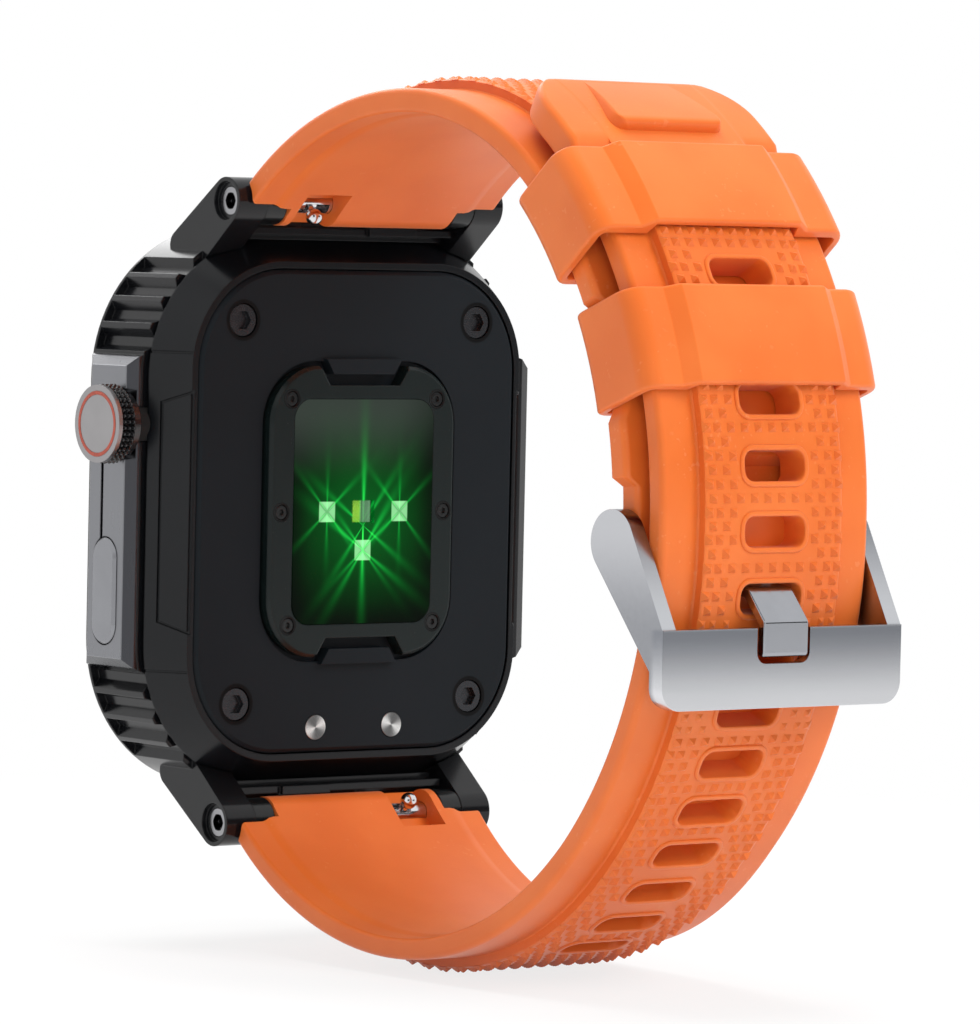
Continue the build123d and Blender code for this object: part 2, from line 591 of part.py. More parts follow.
def lug_end():
    """Eye at the lug, and the cuts that narrow the strap between the ears and seat its spring bar."""
    eye = rod(lug_y, lug_z, strap_end_r, -strap_end_w / 2, strap_end_w / 2)
    cut = rod(lug_y, lug_z, ear_r + 0.35, strap_end_w / 2, end_w)
    cut += rod(lug_y, lug_z, ear_r + 0.35, -end_w, -strap_end_w / 2)
    cut += rod(lug_y, lug_z, pin_tube_r + 0.04, -end_w, end_w)
    pocket_x = knob_x - knob_travel - knob_r - 0.2
    cut += at_lug(box(pocket_x, pocket_x + 4.5, lug_y + 0.35, lug_y + 4, lug_z - 3, lug_z + 3.0))
    return eye, cut


def short_band(low, high, deg0, deg1):
    """Side profiles of the short strap between two heights over its inner face."""
    lap = sector(lap_arc, lap_in_r + low, lap_in_r + high, deg0, lap_end_deg)
    top = sector(top_arc, top_r + low, top_r + high, lap_end_deg, 90)
    return [lap, top, sector(hang_arc, hang_r + low, hang_r + high, 90, deg1)]


def long_band(low, high):
    """Side profiles of the long strap between two heights over its inner face."""
    loop = sector(loop_arc, loop_r + low, loop_r + high, loop_deg, -blend_deg)
    bend = sector(blend_arc, blend_r + low, blend_r + high, -blend_deg, 0)
    y0, y1 = lap_face_y + low, lap_face_y + high
    upright = Polygon((y0, blend_arc[1]), (y1, blend_arc[1]), (y1, lap_z), (y0, lap_z), align=None)
    start = lap_in_r + lap_step
    lap = sector(lap_arc, start + low, start + high, 0, lap_end_deg)
    start = top_r + lap_step
    return [loop, bend, upright, lap, sector(top_arc, start + low, start + high, lap_end_deg, tip_deg)]


def tip_outline():
    """Radial prism with the tip's rounded corners."""
    lean = radians(tip_deg - 8)
    reach = (top_r + lap_step + lap_rim_t) * sin(radians(8)) + 0.3
    plane = Plane(origin=(0, *top_arc), x_dir=(1, 0, 0), z_dir=(0, cos(lean), sin(lean)))
    long = 30.0
    return extrude(plane * (Pos(0, long / 2 - reach) * RectangleRounded(long_w, long, tip_corner_r)), amount=60)


def place_on_long(s):
    """Point on the long strap's inner face and the way it faces, in degrees.

    s is the length from the foot of the upright stretch, positive towards the tip."""
    upright = lap_z - blend_arc[1]
    if s > upright:
        r = lap_in_r + lap_step
        deg = degrees((s - upright) / r)
        return lap_y + r * cos(radians(deg)), lap_z + r * sin(radians(deg)), deg
    if s >= 0:
        return lap_face_y, blend_arc[1] + s, 0.0
    bend = blend_r * blend
    if s > -bend:
        deg = degrees(s / blend_r)
        return blend_arc[0] + blend_r * cos(radians(deg)), blend_arc[1] + blend_r * sin(radians(deg)), deg
    deg = -blend_deg + degrees((s + bend) / loop_r)
    return loop_y + loop_r * cos(radians(deg)), loop_z + loop_r * sin(radians(deg)), deg


def slot_cutter(s, floor_t=None):
    """Slot for the tongue; with a floor thickness it is a blind recess."""
    y, z, deg = place_on_long(s)
    out = (0, cos(radians(deg)), sin(radians(deg)))
    start = floor_t if floor_t else -2.0
    origin = (0, y + start * out[1], z + start * out[2])
    plane = Plane(origin=origin, x_dir=(1, 0, 0), z_dir=out)
    return extrude(plane * RectangleRounded(slot_w, slot_h, 0.9), amount=rim_t + 5)


def at_lap(shape, deg):
    """Turns a shape made at the lap arc's level point to another place on the arc."""
    return Pos(0, lap_y, lap_z) * Rot(deg, 0, 0) * Pos(0, -lap_y, -lap_z) * shape


def strap_short():
    strap = None
    for face in short_band(0, rim_t, pivot_deg, hang_deg):
        piece = along_x(face, -end_w / 2, end_w / 2)
        strap = piece if strap is None else strap + piece
    strap &= extrude(plan(end_w / 2, short_w / 2, taper_y), amount=100, both=True)
    panel_from = degrees(asin((pivot_z + arm_r + 0.6 - lap_z) / pivot_r))
    for face in short_band(rim_t - 0.5, rim_t + panel_h, panel_from, hang_deg - 24):
        strap += along_x(face, -panel_w / 2, panel_w / 2)
    eye, cut = lug_end()
    strap += eye
    strap += rod(pivot_y, pivot_z, rim_t / 2, -long_w / 2, long_w / 2)
    strap -= cut
    half = keeper_l / 2 + 0.2
    for x0, x1 in ((notch_w / 2, end_w), (-end_w, -notch_w / 2)):
        notch = box(x0, x1, lap_y + lap_in_r - 2, lap_y + lap_in_r + rim_t + 1, lap_z - half, lap_z + half)
        strap -= at_lap(notch, fixed_keeper_deg)
    for x0, x1 in ((arm_x - 0.15, end_w), (-end_w, 0.15 - arm_x)):
        strap -= rod(pivot_y, pivot_z, arm_r + 0.3, x0, x1)
        strap -= box(x0, x1, loop_y, loop_y + 60, -30, pivot_z + arm_r / 2)
    strap -= rod(pivot_y, pivot_z, bar_r + 0.02, -long_w, long_w)
    return strap - rod(pivot_y, pivot_z, rim_t, -tongue_w / 2 - 0.3, tongue_w / 2 + 0.3)


def thumb_wedge():
    """Wedge near the tip: a ledge towards the keeper, falling to the strap's face at the tip."""
    face = top_r + lap_step + tip_t
    points = []
    for index in range(9):
        share = index / 8
        a = radians(pad_deg + (tip_deg - 2.5 - pad_deg) * share)
        r = face + thumb_pad_h * (1 - share) + 0.05
        points.append((top_arc[0] + r * cos(a), top_arc[1] + r * sin(a)))
    low0, low1 = radians(pad_deg), radians(tip_deg - 2.5)
    low_r = face - 0.6
    points.append((top_arc[0] + low_r * cos(low1), top_arc[1] + low_r * sin(low1)))
    points.append((top_arc[0] + low_r * cos(low0), top_arc[1] + low_r * sin(low0)))
    return along_x(Polygon(*points, align=None), -thumb_pad_w / 2, thumb_pad_w / 2)


def strap_long():
    rims = [along_x(face, -end_w / 2, end_w / 2) for face in long_band(0, lap_rim_t)]
    rims[4] = along_x(long_band(0, tip_t)[4], -end_w / 2, end_w / 2)
    lower = (rims[0] + rims[1]) & extrude(plan(end_w / 2, long_w / 2, taper_y), amount=100, both=True)
    strap = lower
    middle = [along_x(face, -panel_w / 2, panel_w / 2) for face in long_band(lap_rim_t - 0.5, lap_rim_t + panel_h)]
    core = box(-long_w / 2, long_w / 2, 0, 80, -60, 60)
    strap += rims[2] & core
    strap += rims[3] & core
    strap += rims[4] & tip_outline()
    for piece in middle[:4]:
        strap += piece
    strap += thumb_wedge() & tip_outline()
    eye, cut = [Rot(0, 180, 0) * shape for shape in lug_end()]
    strap += eye
    strap -= cut
    bare = sector(loop_arc, loop_r + lap_rim_t, loop_r + 9, loop_deg - 5, loop_deg + 24)
    strap -= along_x(bare, -end_w, end_w)
    for index in range(slots_up + 1):
        strap -= slot_cutter(tongue_slot_s + index * slot_up)
    for index in range(1, slots_down + 1):
        strap -= slot_cutter(tongue_slot_s - index * slot_down, slot_floor_t)
    return strap


def keeper(middle_deg, hole_half):
    """Loop round both strap layers with parallel ends and a raised middle."""
    low = lap_in_r - keeper_gap
    rim = lap_in_r + lap_step + lap_rim_t + 0.25
    high = lap_in_r + lap_step + lap_rim_t + panel_h + keeper_gap
    half = hole_half + keeper_t
    foot = low - keeper_t
    rim_top, top = rim + keeper_t, high + keeper_t
    step = panel_w / 2 + 0.3
    corners = [(half, foot), (half, rim_top), (step + 1.3, rim_top), (step, top)]
    outer = Polygon(*corners, *[(-x, r) for x, r in reversed(corners)], align=None)
    outer = fillet(outer.vertices().filter_by(lambda v: abs(v.X) > half - 0.01), keeper_corner_r)
    inside = [(hole_half, low), (hole_half, rim), (step, rim), (step - 0.1, high)]
    hole = Polygon(*inside, *[(-x, r) for x, r in reversed(inside)], align=None)
    axis = Axis((0, lap_y, lap_z), (1, 0, 0))
    plane = Plane(origin=(0, lap_y, lap_z), x_dir=(1, 0, 0), z_dir=(0, 0, 1))
    loop = revolve(plane * (outer - hole), axis=axis, revolution_arc=24)
    loop = at_lap(loop, -12)
    loop &= box(-30, 30, lap_y, lap_y + 60, lap_z - keeper_l / 2, lap_z + keeper_l / 2)
    return at_lap(loop, middle_deg)


parts["strap_12"] = strap_short()
parts["strap_6"] = strap_long()
parts["keeper_fixed"] = keeper(fixed_keeper_deg, notch_w / 2 + keeper_gap)
parts["keeper_loose"] = keeper(loose_keeper_deg, short_w / 2 + 0.25)


# ---------------------------------------------------------------- buckle
def buckle_frame():
    outer = arm_x + arm_t
    front_y = plate_y + plate_t
    plate = box(-outer, outer, plate_y, front_y, plate_low_z, plate_top_z)
    end_r = plate_side_t / 2
    foot = (front_y - end_r, plate_top_z - 3.0)
    heel = (front_y - end_r, plate_low_z + end_r)
    brow = Pos(front_y - 0.3, plate_top_z - 0.3) * Circle(0.3)
    arm = make_hull((Pos(pivot_y, pivot_z) * Circle(arm_r) + Pos(*foot) * Circle(end_r) + brow).edges())
    arm += Pos(foot[0], (foot[1] + heel[1]) / 2) * Rectangle(plate_side_t, foot[1] - heel[1])
    arm += Pos(*heel) * Circle(end_r)
    for x0 in (arm_x, -outer):
        plate += along_x(arm, x0, x0 + arm_t)
    for side in (1, -1):
        corner = Pos(side * outer, plate_low_z) * Rectangle(3.6, 3.6) - Pos(side * (outer - 1.8), plate_low_z + 1.8) * Circle(1.8)
        plate -= slab(corner, plate_y + 3, 6)
    notch = Pos(0, plate_top_z + 0.2) * RectangleRounded(tongue_w + 1.2, 6.0, 0.9)
    plate -= slab(notch, front_y + 1, 4)
    return plate - rod(pivot_y, pivot_z, bar_tip_r + turn_gap, -outer + 0.3, outer - 0.3)


def buckle_tongue():
    """Follows the inside of the long strap, goes out through its slot and lies in the bar's notch."""
    y, z, deg = place_on_long(tongue_slot_s)
    lift = z + 0.1
    face_y = plate_y + plate_t
    route = [(pivot_y, pivot_z), (y - 0.85, lift + 0.5), (y + lap_rim_t + 0.6, lift)]
    route += [(face_y - 0.1, plate_top_z + 0.35), (face_y - 0.1, plate_top_z - 1.9)]
    outline = Pos(pivot_y, pivot_z) * Circle(rim_t / 2)
    for p, q in zip(route[:-1], route[1:]):
        outline += capsule(p, q, tongue_t)
    tongue = along_x(outline, -tongue_w / 2, tongue_w / 2)
    return tongue - rod(pivot_y, pivot_z, bar_r + turn_gap, -tongue_w, tongue_w)


parts["buckle_frame"] = buckle_frame()
parts["buckle_tongue"] = buckle_tongue()
bar = rod(pivot_y, pivot_z, bar_r, -long_w / 2 + 0.1, long_w / 2 - 0.1)
parts["buckle_bar"] = bar + rod(pivot_y, pivot_z, bar_tip_r, -arm_x - arm_t + 0.35, arm_x + arm_t - 0.35)

# ---------------------------------------------------------------- export
os.makedirs("parts", exist_ok=True)
for name, shape in parts.items():
    shapes = shape if isinstance(shape, list) else [shape]
    solids = [solid for item in shapes for solid in item.solids()]
    export_step(Compound(solids) if len(solids) > 1 else solids[0], f"parts/{name}.step")
    print(name, len(solids))
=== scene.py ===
# %% [markdown]
# # A GPS running watch on its silicone strap
# This lesson dresses a finished construction model of a watch. The construction model is
# already in the right place and at the right size, so nothing is fitted by eye: each cell
# adds a finish, or builds one soft or bevelled piece over the solid that it stands for.

# %% Load the construction model
from math import asin, cos, degrees, hypot, pi, radians, sin, sqrt

import bmesh
import bpy
from mathutils import Matrix, Vector


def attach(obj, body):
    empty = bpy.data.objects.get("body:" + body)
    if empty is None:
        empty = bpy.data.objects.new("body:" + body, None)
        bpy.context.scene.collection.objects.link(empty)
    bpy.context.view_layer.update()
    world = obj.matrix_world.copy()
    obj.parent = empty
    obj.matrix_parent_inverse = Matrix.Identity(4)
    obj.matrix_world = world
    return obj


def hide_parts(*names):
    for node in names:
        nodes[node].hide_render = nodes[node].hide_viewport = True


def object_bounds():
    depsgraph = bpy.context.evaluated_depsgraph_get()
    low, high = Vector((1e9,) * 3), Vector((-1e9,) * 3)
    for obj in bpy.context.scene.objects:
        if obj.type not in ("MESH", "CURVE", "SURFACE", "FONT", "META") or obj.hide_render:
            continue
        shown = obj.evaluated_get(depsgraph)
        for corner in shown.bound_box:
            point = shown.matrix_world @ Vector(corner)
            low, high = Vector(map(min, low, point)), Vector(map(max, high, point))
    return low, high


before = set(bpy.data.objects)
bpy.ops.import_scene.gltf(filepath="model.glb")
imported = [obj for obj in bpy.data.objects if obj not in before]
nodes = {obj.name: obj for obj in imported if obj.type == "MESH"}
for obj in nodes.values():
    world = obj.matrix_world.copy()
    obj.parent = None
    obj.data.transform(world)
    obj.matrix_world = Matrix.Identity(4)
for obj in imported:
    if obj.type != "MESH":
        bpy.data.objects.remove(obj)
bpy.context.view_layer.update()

print("construction pieces:", len(nodes))

# %% [markdown]
# ## Camera
# The watch is seen from behind and a little to the crown side with a long lens, so that
# parallel edges stay almost parallel. A camera can be aimed with a Track To constraint, but
# writing its three axes into a matrix says exactly where it looks and how it is rolled.

# %% Camera
MM = 0.001
camera_place = Vector((317.0, 423.15, 23.89)) * MM
forward = Vector((-0.61517, -0.78712, -0.04478)).normalized()
roll = radians(1.27)
lens_mm, sensor_mm = 218.02, 36.0


def aimed(place, direction, tilt=0.0):
    """Matrix of a camera or lamp at a place, looking along a direction."""
    right = direction.cross(Vector((0, 0, 1))).normalized()
    up = right.cross(direction)
    side = right * cos(tilt) + up * sin(tilt)
    top = up * cos(tilt) - right * sin(tilt)
    turn = Matrix((side, top, -direction)).transposed().to_4x4()
    return Matrix.Translation(place) @ turn


camera = bpy.data.objects.new("camera", bpy.data.cameras.new("camera"))
bpy.context.scene.collection.objects.link(camera)
camera.data.lens = lens_mm
camera.data.sensor_width = sensor_mm
camera.data.clip_start = 0.01
camera.matrix_world = aimed(camera_place, forward, roll)
bpy.context.scene.camera = camera
print("camera", round(camera_place.length, 3), "m from the sensor window")

# %% [markdown]
# ## A way to write materials
# A material is a little network of nodes. Wiring each one by hand hides the idea in
# bookkeeping, so one class carries a socket and lets its values be added, multiplied and
# compared like numbers, and another one makes any node with its settings and inputs.


# %% Values that travel through a material
def sign(operation, swapped=False):
    """An arithmetic sign between two values, as a Math node."""

    def work(self, other):
        pair = (other, self) if swapped else (self, other)
        return self.finish.maths(operation, *pair)

    return work


class Value:
    """One output of a node, with arithmetic."""

    __add__, __radd__ = sign("ADD"), sign("ADD", swapped=True)
    __sub__, __rsub__ = sign("SUBTRACT"), sign("SUBTRACT", swapped=True)
    __mul__, __rmul__ = sign("MULTIPLY"), sign("MULTIPLY", swapped=True)
    __pow__ = sign("POWER")

    def __init__(self, finish, socket):
        self.finish = finish
        self.socket = socket

    def __abs__(self):
        return self.finish.maths("ABSOLUTE", self)


# %% The finish workshop
def shade(red, green, blue):
    """A screen colour, 0 to 255, in the linear values that a shader uses."""
    linear = []
    for channel in (red, green, blue):
        part = channel / 255
        linear.append(part / 12.92 if part <= 0.04045 else ((part + 0.055) / 1.055) ** 2.4)
    return (*linear, 1.0)


class Finish:
    """A material built round one Principled shader."""

    def __init__(self, name, **constants):
        self.material = bpy.data.materials.new(name)
        self.material.use_nodes = True
        self.tree = self.material.node_tree
        self.shader = self.tree.nodes["Principled BSDF"]
        for socket, value in constants.items():
            self.shader.inputs[socket.replace("_", " ")].default_value = value
        spot = self.node("ShaderNodeTexCoord", output="Object")
        self.spot = spot
        split = self.node("ShaderNodeSeparateXYZ", inputs={0: spot}).socket.node
        self.x, self.y, self.z = [Value(self, out) * 1000.0 for out in split.outputs]
        turned = self.node("ShaderNodeTexCoord", output="Normal")
        self.facing_x = self.node("ShaderNodeSeparateXYZ", inputs={0: turned})

    def join(self, socket, value):
        """A link or a constant; a constant colour is written as a screen shows it."""
        if isinstance(value, Value):
            self.tree.links.new(value.socket, socket)
        else:
            socket.default_value = shade(*value) if socket.type == "RGBA" else value

    def node(self, kind, settings=None, inputs=None, output=0):
        """Any node: its settings first, then the values or links of its sockets."""
        made = self.tree.nodes.new(kind)
        for key, value in (settings or {}).items():
            if key == "stops":
                ramp = made.color_ramp.elements
                while len(ramp) < len(value):
                    ramp.new(0.5)
                for stop, (position, colour) in zip(ramp, value):
                    stop.position = position
                    stop.color = colour
            else:
                setattr(made, key, value)
        for key, value in (inputs or {}).items():
            self.join(made.inputs[key], value)
        return Value(self, made.outputs[output])

    def maths(self, operation, *values):
        return self.node("ShaderNodeMath", {"operation": operation}, dict(enumerate(values)))

    def between(self, low, high, value):
        """0 below low, 1 above high, with a soft step."""
        inputs = {"Value": value, "From Min": low, "From Max": high}
        return self.node("ShaderNodeMapRange", {"interpolation_type": "SMOOTHSTEP"}, inputs)

    def inside(self, half, value, soft=0.1):
        """1 where the size of value is under half."""
        return 1 - self.between(half - soft, half + soft, abs(value))

    def length(self, first, second):
        """Distance from a place, from how far it is in two directions."""
        return self.maths("SQRT", first * first + second * second)

    def mix(self, first, second, share):
        """One colour turning into another; 6, 7 and output 2 are the colour sockets."""
        inputs = {0: share, 6: first, 7: second}
        return self.node("ShaderNodeMix", {"data_type": "RGBA"}, inputs, 2)

    def noise(self, size_mm, detail=2.0, stretch=(1, 1, 1)):
        """Cloudy variation with spots of about that size."""
        product = {"operation": "MULTIPLY"}
        scaled = self.node("ShaderNodeVectorMath", product, {0: self.spot, 1: stretch})
        inputs = {"Vector": scaled, "Scale": 1000.0 / size_mm, "Detail": detail}
        return self.node("ShaderNodeTexNoise", {}, inputs)

    def set(self, **values):
        for socket, value in values.items():
            self.join(self.shader.inputs[socket.replace("_", " ")], value)

    def relief(self, height, depth_mm, edge_mm=0.0):
        """Fine height as a bump, over edges that catch the light as if they were rounded."""
        inputs = {"Height": height, "Distance": depth_mm * MM, "Strength": 1.0}
        if edge_mm:
            rounded = {"Radius": edge_mm * MM}
            inputs["Normal"] = self.node("ShaderNodeBevel", {"samples": 4}, rounded)
        self.set(Normal=self.node("ShaderNodeBump", {}, inputs))


mid_grey = [round(part, 3) for part in shade(128, 128, 128)[:3]]
print("a finish takes screen colours: mid grey is", mid_grey)

# %% [markdown]
# ## Silicone
# The straps and keepers are moulded in orange silicone. It is matt, but its skin gives a
# broad pale sheen where it faces the lamps. A cloudy noise carries the small changes of
# pigment, a sparse one leaves specks of dust, and a very fine bump breaks the sheen up as
# the mould's spark finish does.


# %% Silicone finish
def silicone(name, dark, light, edge_mm=0.0):
    soft = {"Subsurface_Weight": 0.08, "Subsurface_Scale": 0.0015, "Sheen_Weight": 0.1}
    finish = Finish(name, Specular_IOR_Level=0.5, **soft)
    cloud = finish.noise(9.0, 3.0)
    grain = finish.noise(0.12, 2.0)
    specks = finish.between(0.66, 0.72, finish.noise(0.5, 1.0))
    dust = specks * finish.between(0.5, 0.6, finish.noise(6.0))
    tone = finish.mix(dark, light, finish.between(0.3, 0.7, cloud))
    tone = finish.mix(tone, (250, 190, 150), dust * 0.12)
    finish.set(Base_Color=tone, Roughness=0.38 + grain * 0.12 + dust * 0.1)
    finish.relief(grain, 0.006, edge_mm)
    return finish.material


strap_silicone = silicone("strap_silicone", (222, 105, 30), (230, 115, 42))
print("finish", strap_silicone.name)

# %% [markdown]
# ## Building in millimetres
# The frame is in metres, but bevels and cuts behave badly on shapes a thousandth of a unit
# wide. Every shape is therefore made in millimetres and scaled once, at the end. Most pieces
# here are lofts: a closed outline is repeated along a route and the copies are joined.


# %% Lofts and pieces
def corners(shape, ring):
    return [shape.verts.new(point) for point in ring]


def skin(shape, rows):
    """Faces from each row of corners to the next; a row goes once round and is closed."""
    for low, high in zip(rows[:-1], rows[1:]):
        for index in range(len(low)):
            after = (index + 1) % len(low)
            shape.faces.new((low[index], low[after], high[after], high[index]))


def loft(rings):
    """A closed solid through rings of points that all have the same length."""
    shape = bmesh.new()
    rows = [corners(shape, ring) for ring in rings]
    skin(shape, rows)
    shape.faces.new(list(reversed(rows[0])))
    shape.faces.new(rows[-1])
    return shape


def loop_loft(rings, shape):
    """Adds a skin whose last ring joins the first, as in a frame round a hole."""
    rows = [corners(shape, ring) for ring in rings]
    skin(shape, rows + rows[:1])


def both_sides(right):
    """A closed outline from its right half, which starts and ends on the middle line."""
    return right + [(-x, height) for x, height in reversed(right[1:-1])]


def temporary(name, shape):
    bmesh.ops.recalc_face_normals(shape, faces=shape.faces)
    mesh = bpy.data.meshes.new(name)
    shape.to_mesh(mesh)
    shape.free()
    made = bpy.data.objects.new(name, mesh)
    bpy.context.scene.collection.objects.link(made)
    return made


def combine(made, operation, others):
    """Cuts or joins other shapes, which are then thrown away."""
    for other in others:
        step = made.modifiers.new(other.name, "BOOLEAN")
        step.operation = operation
        step.object = other
        step.solver = "EXACT"
    graph = bpy.context.evaluated_depsgraph_get()
    graph.update()
    mesh = bpy.data.meshes.new_from_object(made.evaluated_get(graph))
    made.modifiers.clear()
    made.data = mesh
    for other in others:
        bpy.data.objects.remove(other)


def piece(made, body, material, stands_for=(), crease=38.0):
    """Scales a finished shape to metres, smooths it up to its creases and gives it to a body."""
    mesh = made.data
    mesh.transform(Matrix.Scale(MM, 4))
    shape = bmesh.new()
    shape.from_mesh(mesh)
    for face in shape.faces:
        face.smooth = True
    for edge in shape.edges:
        if len(edge.link_faces) == 2:
            edge.smooth = edge.calc_face_angle(0.0) < radians(crease)
    shape.to_mesh(mesh)
    shape.free()
    mesh.materials.clear()
    mesh.materials.append(material)
    even = made.modifiers.new("even_shading", "WEIGHTED_NORMAL")
    even.keep_sharp = True
    even.weight = 80
    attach(made, body)
    if stands_for:
        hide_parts(*stands_for)
    print(made.name, len(mesh.vertices), "points")
    return made


def moulded(made, stands_for=(), body="case", crease=38.0):
    """A piece of the strap's own silicone."""
    return piece(made, body, strap_silicone, stands_for, crease)


def arc_points(centre, r, deg0, deg1, steps):
    points = []
    for index in range(steps + 1):
        turn = radians(deg0 + (deg1 - deg0) * index / steps)
        points.append((centre[0] + r * cos(turn), centre[1] + r * sin(turn)))
    return points


def nearly_round(centre, r, deg0=0.0, deg1=352.5, steps=47):
    """A circle as a closed outline: it stops one step short of where it starts."""
    return arc_points(centre, r, deg0, deg1, steps)


def prism(name, outline, x0, x1):
    """A side profile of (y, z) points between two places across the watch."""
    rings = [[Vector((x, y, z)) for y, z in outline] for x in (x0, x1)]
    return temporary(name, loft(rings))


print("shapes are made in mm and kept in metres")

# %% [markdown]
# ## The two strap routes
# From the side each strap is a chain of arcs that meet smoothly. The route is the inner
# face, which touches the wrist; a place on it is a length, and heights are measured out
# from it. The short strap starts at the buckle and ends at the 12 o'clock lug. The long one
# starts at the 6 o'clock lug, goes round the wrist and over the short one.

# %% Strap sizes
lug_y, lug_z, eye_r = -1.5, 26.2, 2.0
bare_deg = 24.0  # beside each lug the strap's outer face is smooth over this angle
lap_y, lap_z, lap_r, lap_end = 13.7, 2.1, 34.0, 47.5
loop_y, loop_z = 20.1, -5.9
top_z = 33.4
rim, lap_rim, rise = 2.2, 2.0, 0.9
panel_half = 7.05
layer_gap = 0.15
end_half, short_half, long_half, taper_y = 13.1, 11.8, 10.7, 41.0
blend_end = 50.0
layer = rim + rise + layer_gap
face_y = lap_y + lap_r + layer
turn = radians(lap_end)
top_r = (top_z - lap_z - lap_r * sin(turn)) / (1 - sin(turn))
top_mid = (lap_y + (lap_r - top_r) * cos(turn), top_z - top_r)
drop = top_z - lug_z
hang_r = ((top_mid[0] - lug_y) ** 2 + drop**2 - eye_r**2) / (2 * (drop + eye_r))
hang_mid = (top_mid[0], top_z - hang_r)
hang_end = 180 - degrees(asin((lug_z - hang_mid[1]) / (hang_r + eye_r)))
loop_r = hypot(loop_y - lug_y, lug_z + loop_z) - eye_r
loop_start = degrees(asin((lug_z + loop_z) / (loop_r + eye_r))) - 180
bend_r = (face_y - loop_y - loop_r * cos(radians(blend_end))) / (1 - cos(radians(blend_end)))
bend_mid = (face_y - bend_r, loop_z + (bend_r - loop_r) * sin(radians(blend_end)))
pivot_z = 0.1
pivot_r = lap_r + rim / 2
pivot_deg = degrees(asin((pivot_z - lap_z) / pivot_r))
pivot_y = lap_y + pivot_r * cos(radians(pivot_deg))
tip_end = 65.5
print("long strap leaves its wrist arc at", [round(v, 2) for v in bend_mid])


# %% Routes
class Route:
    """Arcs and straight runs in the side view, measured by length."""

    def __init__(self, *runs):
        self.runs = []
        for centre, r, deg0, deg1 in runs:
            length = r * radians(deg1 - deg0) if r else deg1
            self.runs.append((centre, r, deg0, length))
        self.length = sum(run[3] for run in self.runs)

    def at(self, s):
        """(y, z, outward direction in degrees); s may run past either end."""
        for index, (centre, r, deg0, length) in enumerate(self.runs):
            if s <= length or index == len(self.runs) - 1:
                break
            s -= length
        if not r:
            return centre[0], centre[1] + s, 0.0
        deg = deg0 + degrees(s / r)
        return centre[0] + r * cos(radians(deg)), centre[1] + r * sin(radians(deg)), deg

    def point(self, s, x, height):
        y, z, deg = self.at(s)
        return Vector((x, y + height * cos(radians(deg)), z + height * sin(radians(deg))))

    def start_of(self, index):
        return sum(run[3] for run in self.runs[:index])


short_route = Route(
    ((lap_y, lap_z), lap_r, pivot_deg, lap_end),
    (top_mid, top_r, lap_end, 90.0),
    (hang_mid, hang_r, 90.0, hang_end),
)
long_route = Route(
    ((loop_y, loop_z), loop_r, loop_start, -blend_end),
    (bend_mid, bend_r, -blend_end, 0.0),
    ((face_y, bend_mid[1]), 0.0, 0.0, lap_z - bend_mid[1]),
    ((lap_y, lap_z), lap_r + layer, 0.0, lap_end),
    (top_mid, top_r + layer, lap_end, tip_end),
)
upright_s = long_route.start_of(2)
lap_s = long_route.start_of(3)
top_s = long_route.start_of(4)
print("strap lengths", round(short_route.length, 1), round(long_route.length, 1), "mm")


# %% Strap section
def strap_outline(half, thick, high, panel=panel_half):
    """Closed section: wrist face, thinner borders, soft edges, flat rims, raised middle."""
    lip, edge = 0.22, 0.55
    wrist_edge = 0.35
    right = [(0, 0), (half - 3.4, 0), (half - 2.9, 0.05), (half - 2.5, 0.17), (half - 2.2, lip)]
    right += arc_points((half - wrist_edge, lip + wrist_edge), wrist_edge, -90, 0, 3)
    right += arc_points((half - edge, thick - edge), edge, 0, 90, 5)
    soft = min(0.12, high / 2)
    top = thick + high
    right += [(panel + 0.3, thick), (panel + 0.08, thick + soft * 0.3), (panel, thick + soft)]
    right += [(panel - 0.02, top - soft), (panel - 0.04 - soft * 0.7, top - soft * 0.3)]
    right += [(panel - 0.3, top), (panel * 0.5, top), (0, top)]
    return both_sides(right)


def ease(low, high, value):
    """0 below low, 1 above high, with a soft step, for plain numbers."""
    share = max(0.0, min(1.0, (value - low) / (high - low)))
    return share * share * (3 - 2 * share)


def stations(start, end, step):
    """Evenly spaced places from start to end, about a step apart."""
    count = max(1, round((end - start) / step))
    return [start + (end - start) * index / count for index in range(count + 1)]


def taper(y, narrow):
    """Half width of a strap, from the lug's width to its narrow one."""
    before_lug = 4
    share = (y - lug_y + before_lug) / (taper_y - lug_y + before_lug)
    return end_half + (narrow - end_half) * min(1.0, share)


print("section of", len(strap_outline(11, 2.2, 0.9)), "points")

# %% [markdown]
# ## The long strap
# One loft from lug to tip gives the band. Its width comes from the taper, and at the tip the
# half width follows a quarter circle, which rounds the corners. The slots are cut with
# rounded prisms; those up to the one above the prong keep a thin floor of silicone, so that
# the backdrop doesn't show through them. Pyramids and slot frames are added afterwards as
# small closed shapes, since cutting them into the band would cost far more points.

# %% Long strap
keeper_fixed_deg, keeper_loose_deg, keeper_l = 20.7, 40.0, 8.3
tongue_s = upright_s - 4.85
pitch_above, pitch_below = 4.9, 4.35
slot_places = [tongue_s + pitch_above * index for index in range(6)]
slot_places += [tongue_s - pitch_below * index for index in range(1, 9)]
slot_w, slot_h, slot_r = 6.2, 2.5, 0.9
blind_floor, right_through, above_strap = 0.5, -1.5, 5.0
prong_room, prong_low, prong_high = 2.45, -0.2, 1.05
tip_r = 5.2
tip_t = 2.8
tip_flat_s = lap_s + (lap_r + layer) * radians(46.2)
band_end = long_route.length


def long_half_at(s):
    narrow = taper(long_route.at(s)[0], long_half) if s < upright_s else long_half
    left = band_end - s
    if left < tip_r:
        narrow = long_half - tip_r + sqrt(max(0.0, tip_r**2 - (tip_r - left) ** 2))
    return narrow


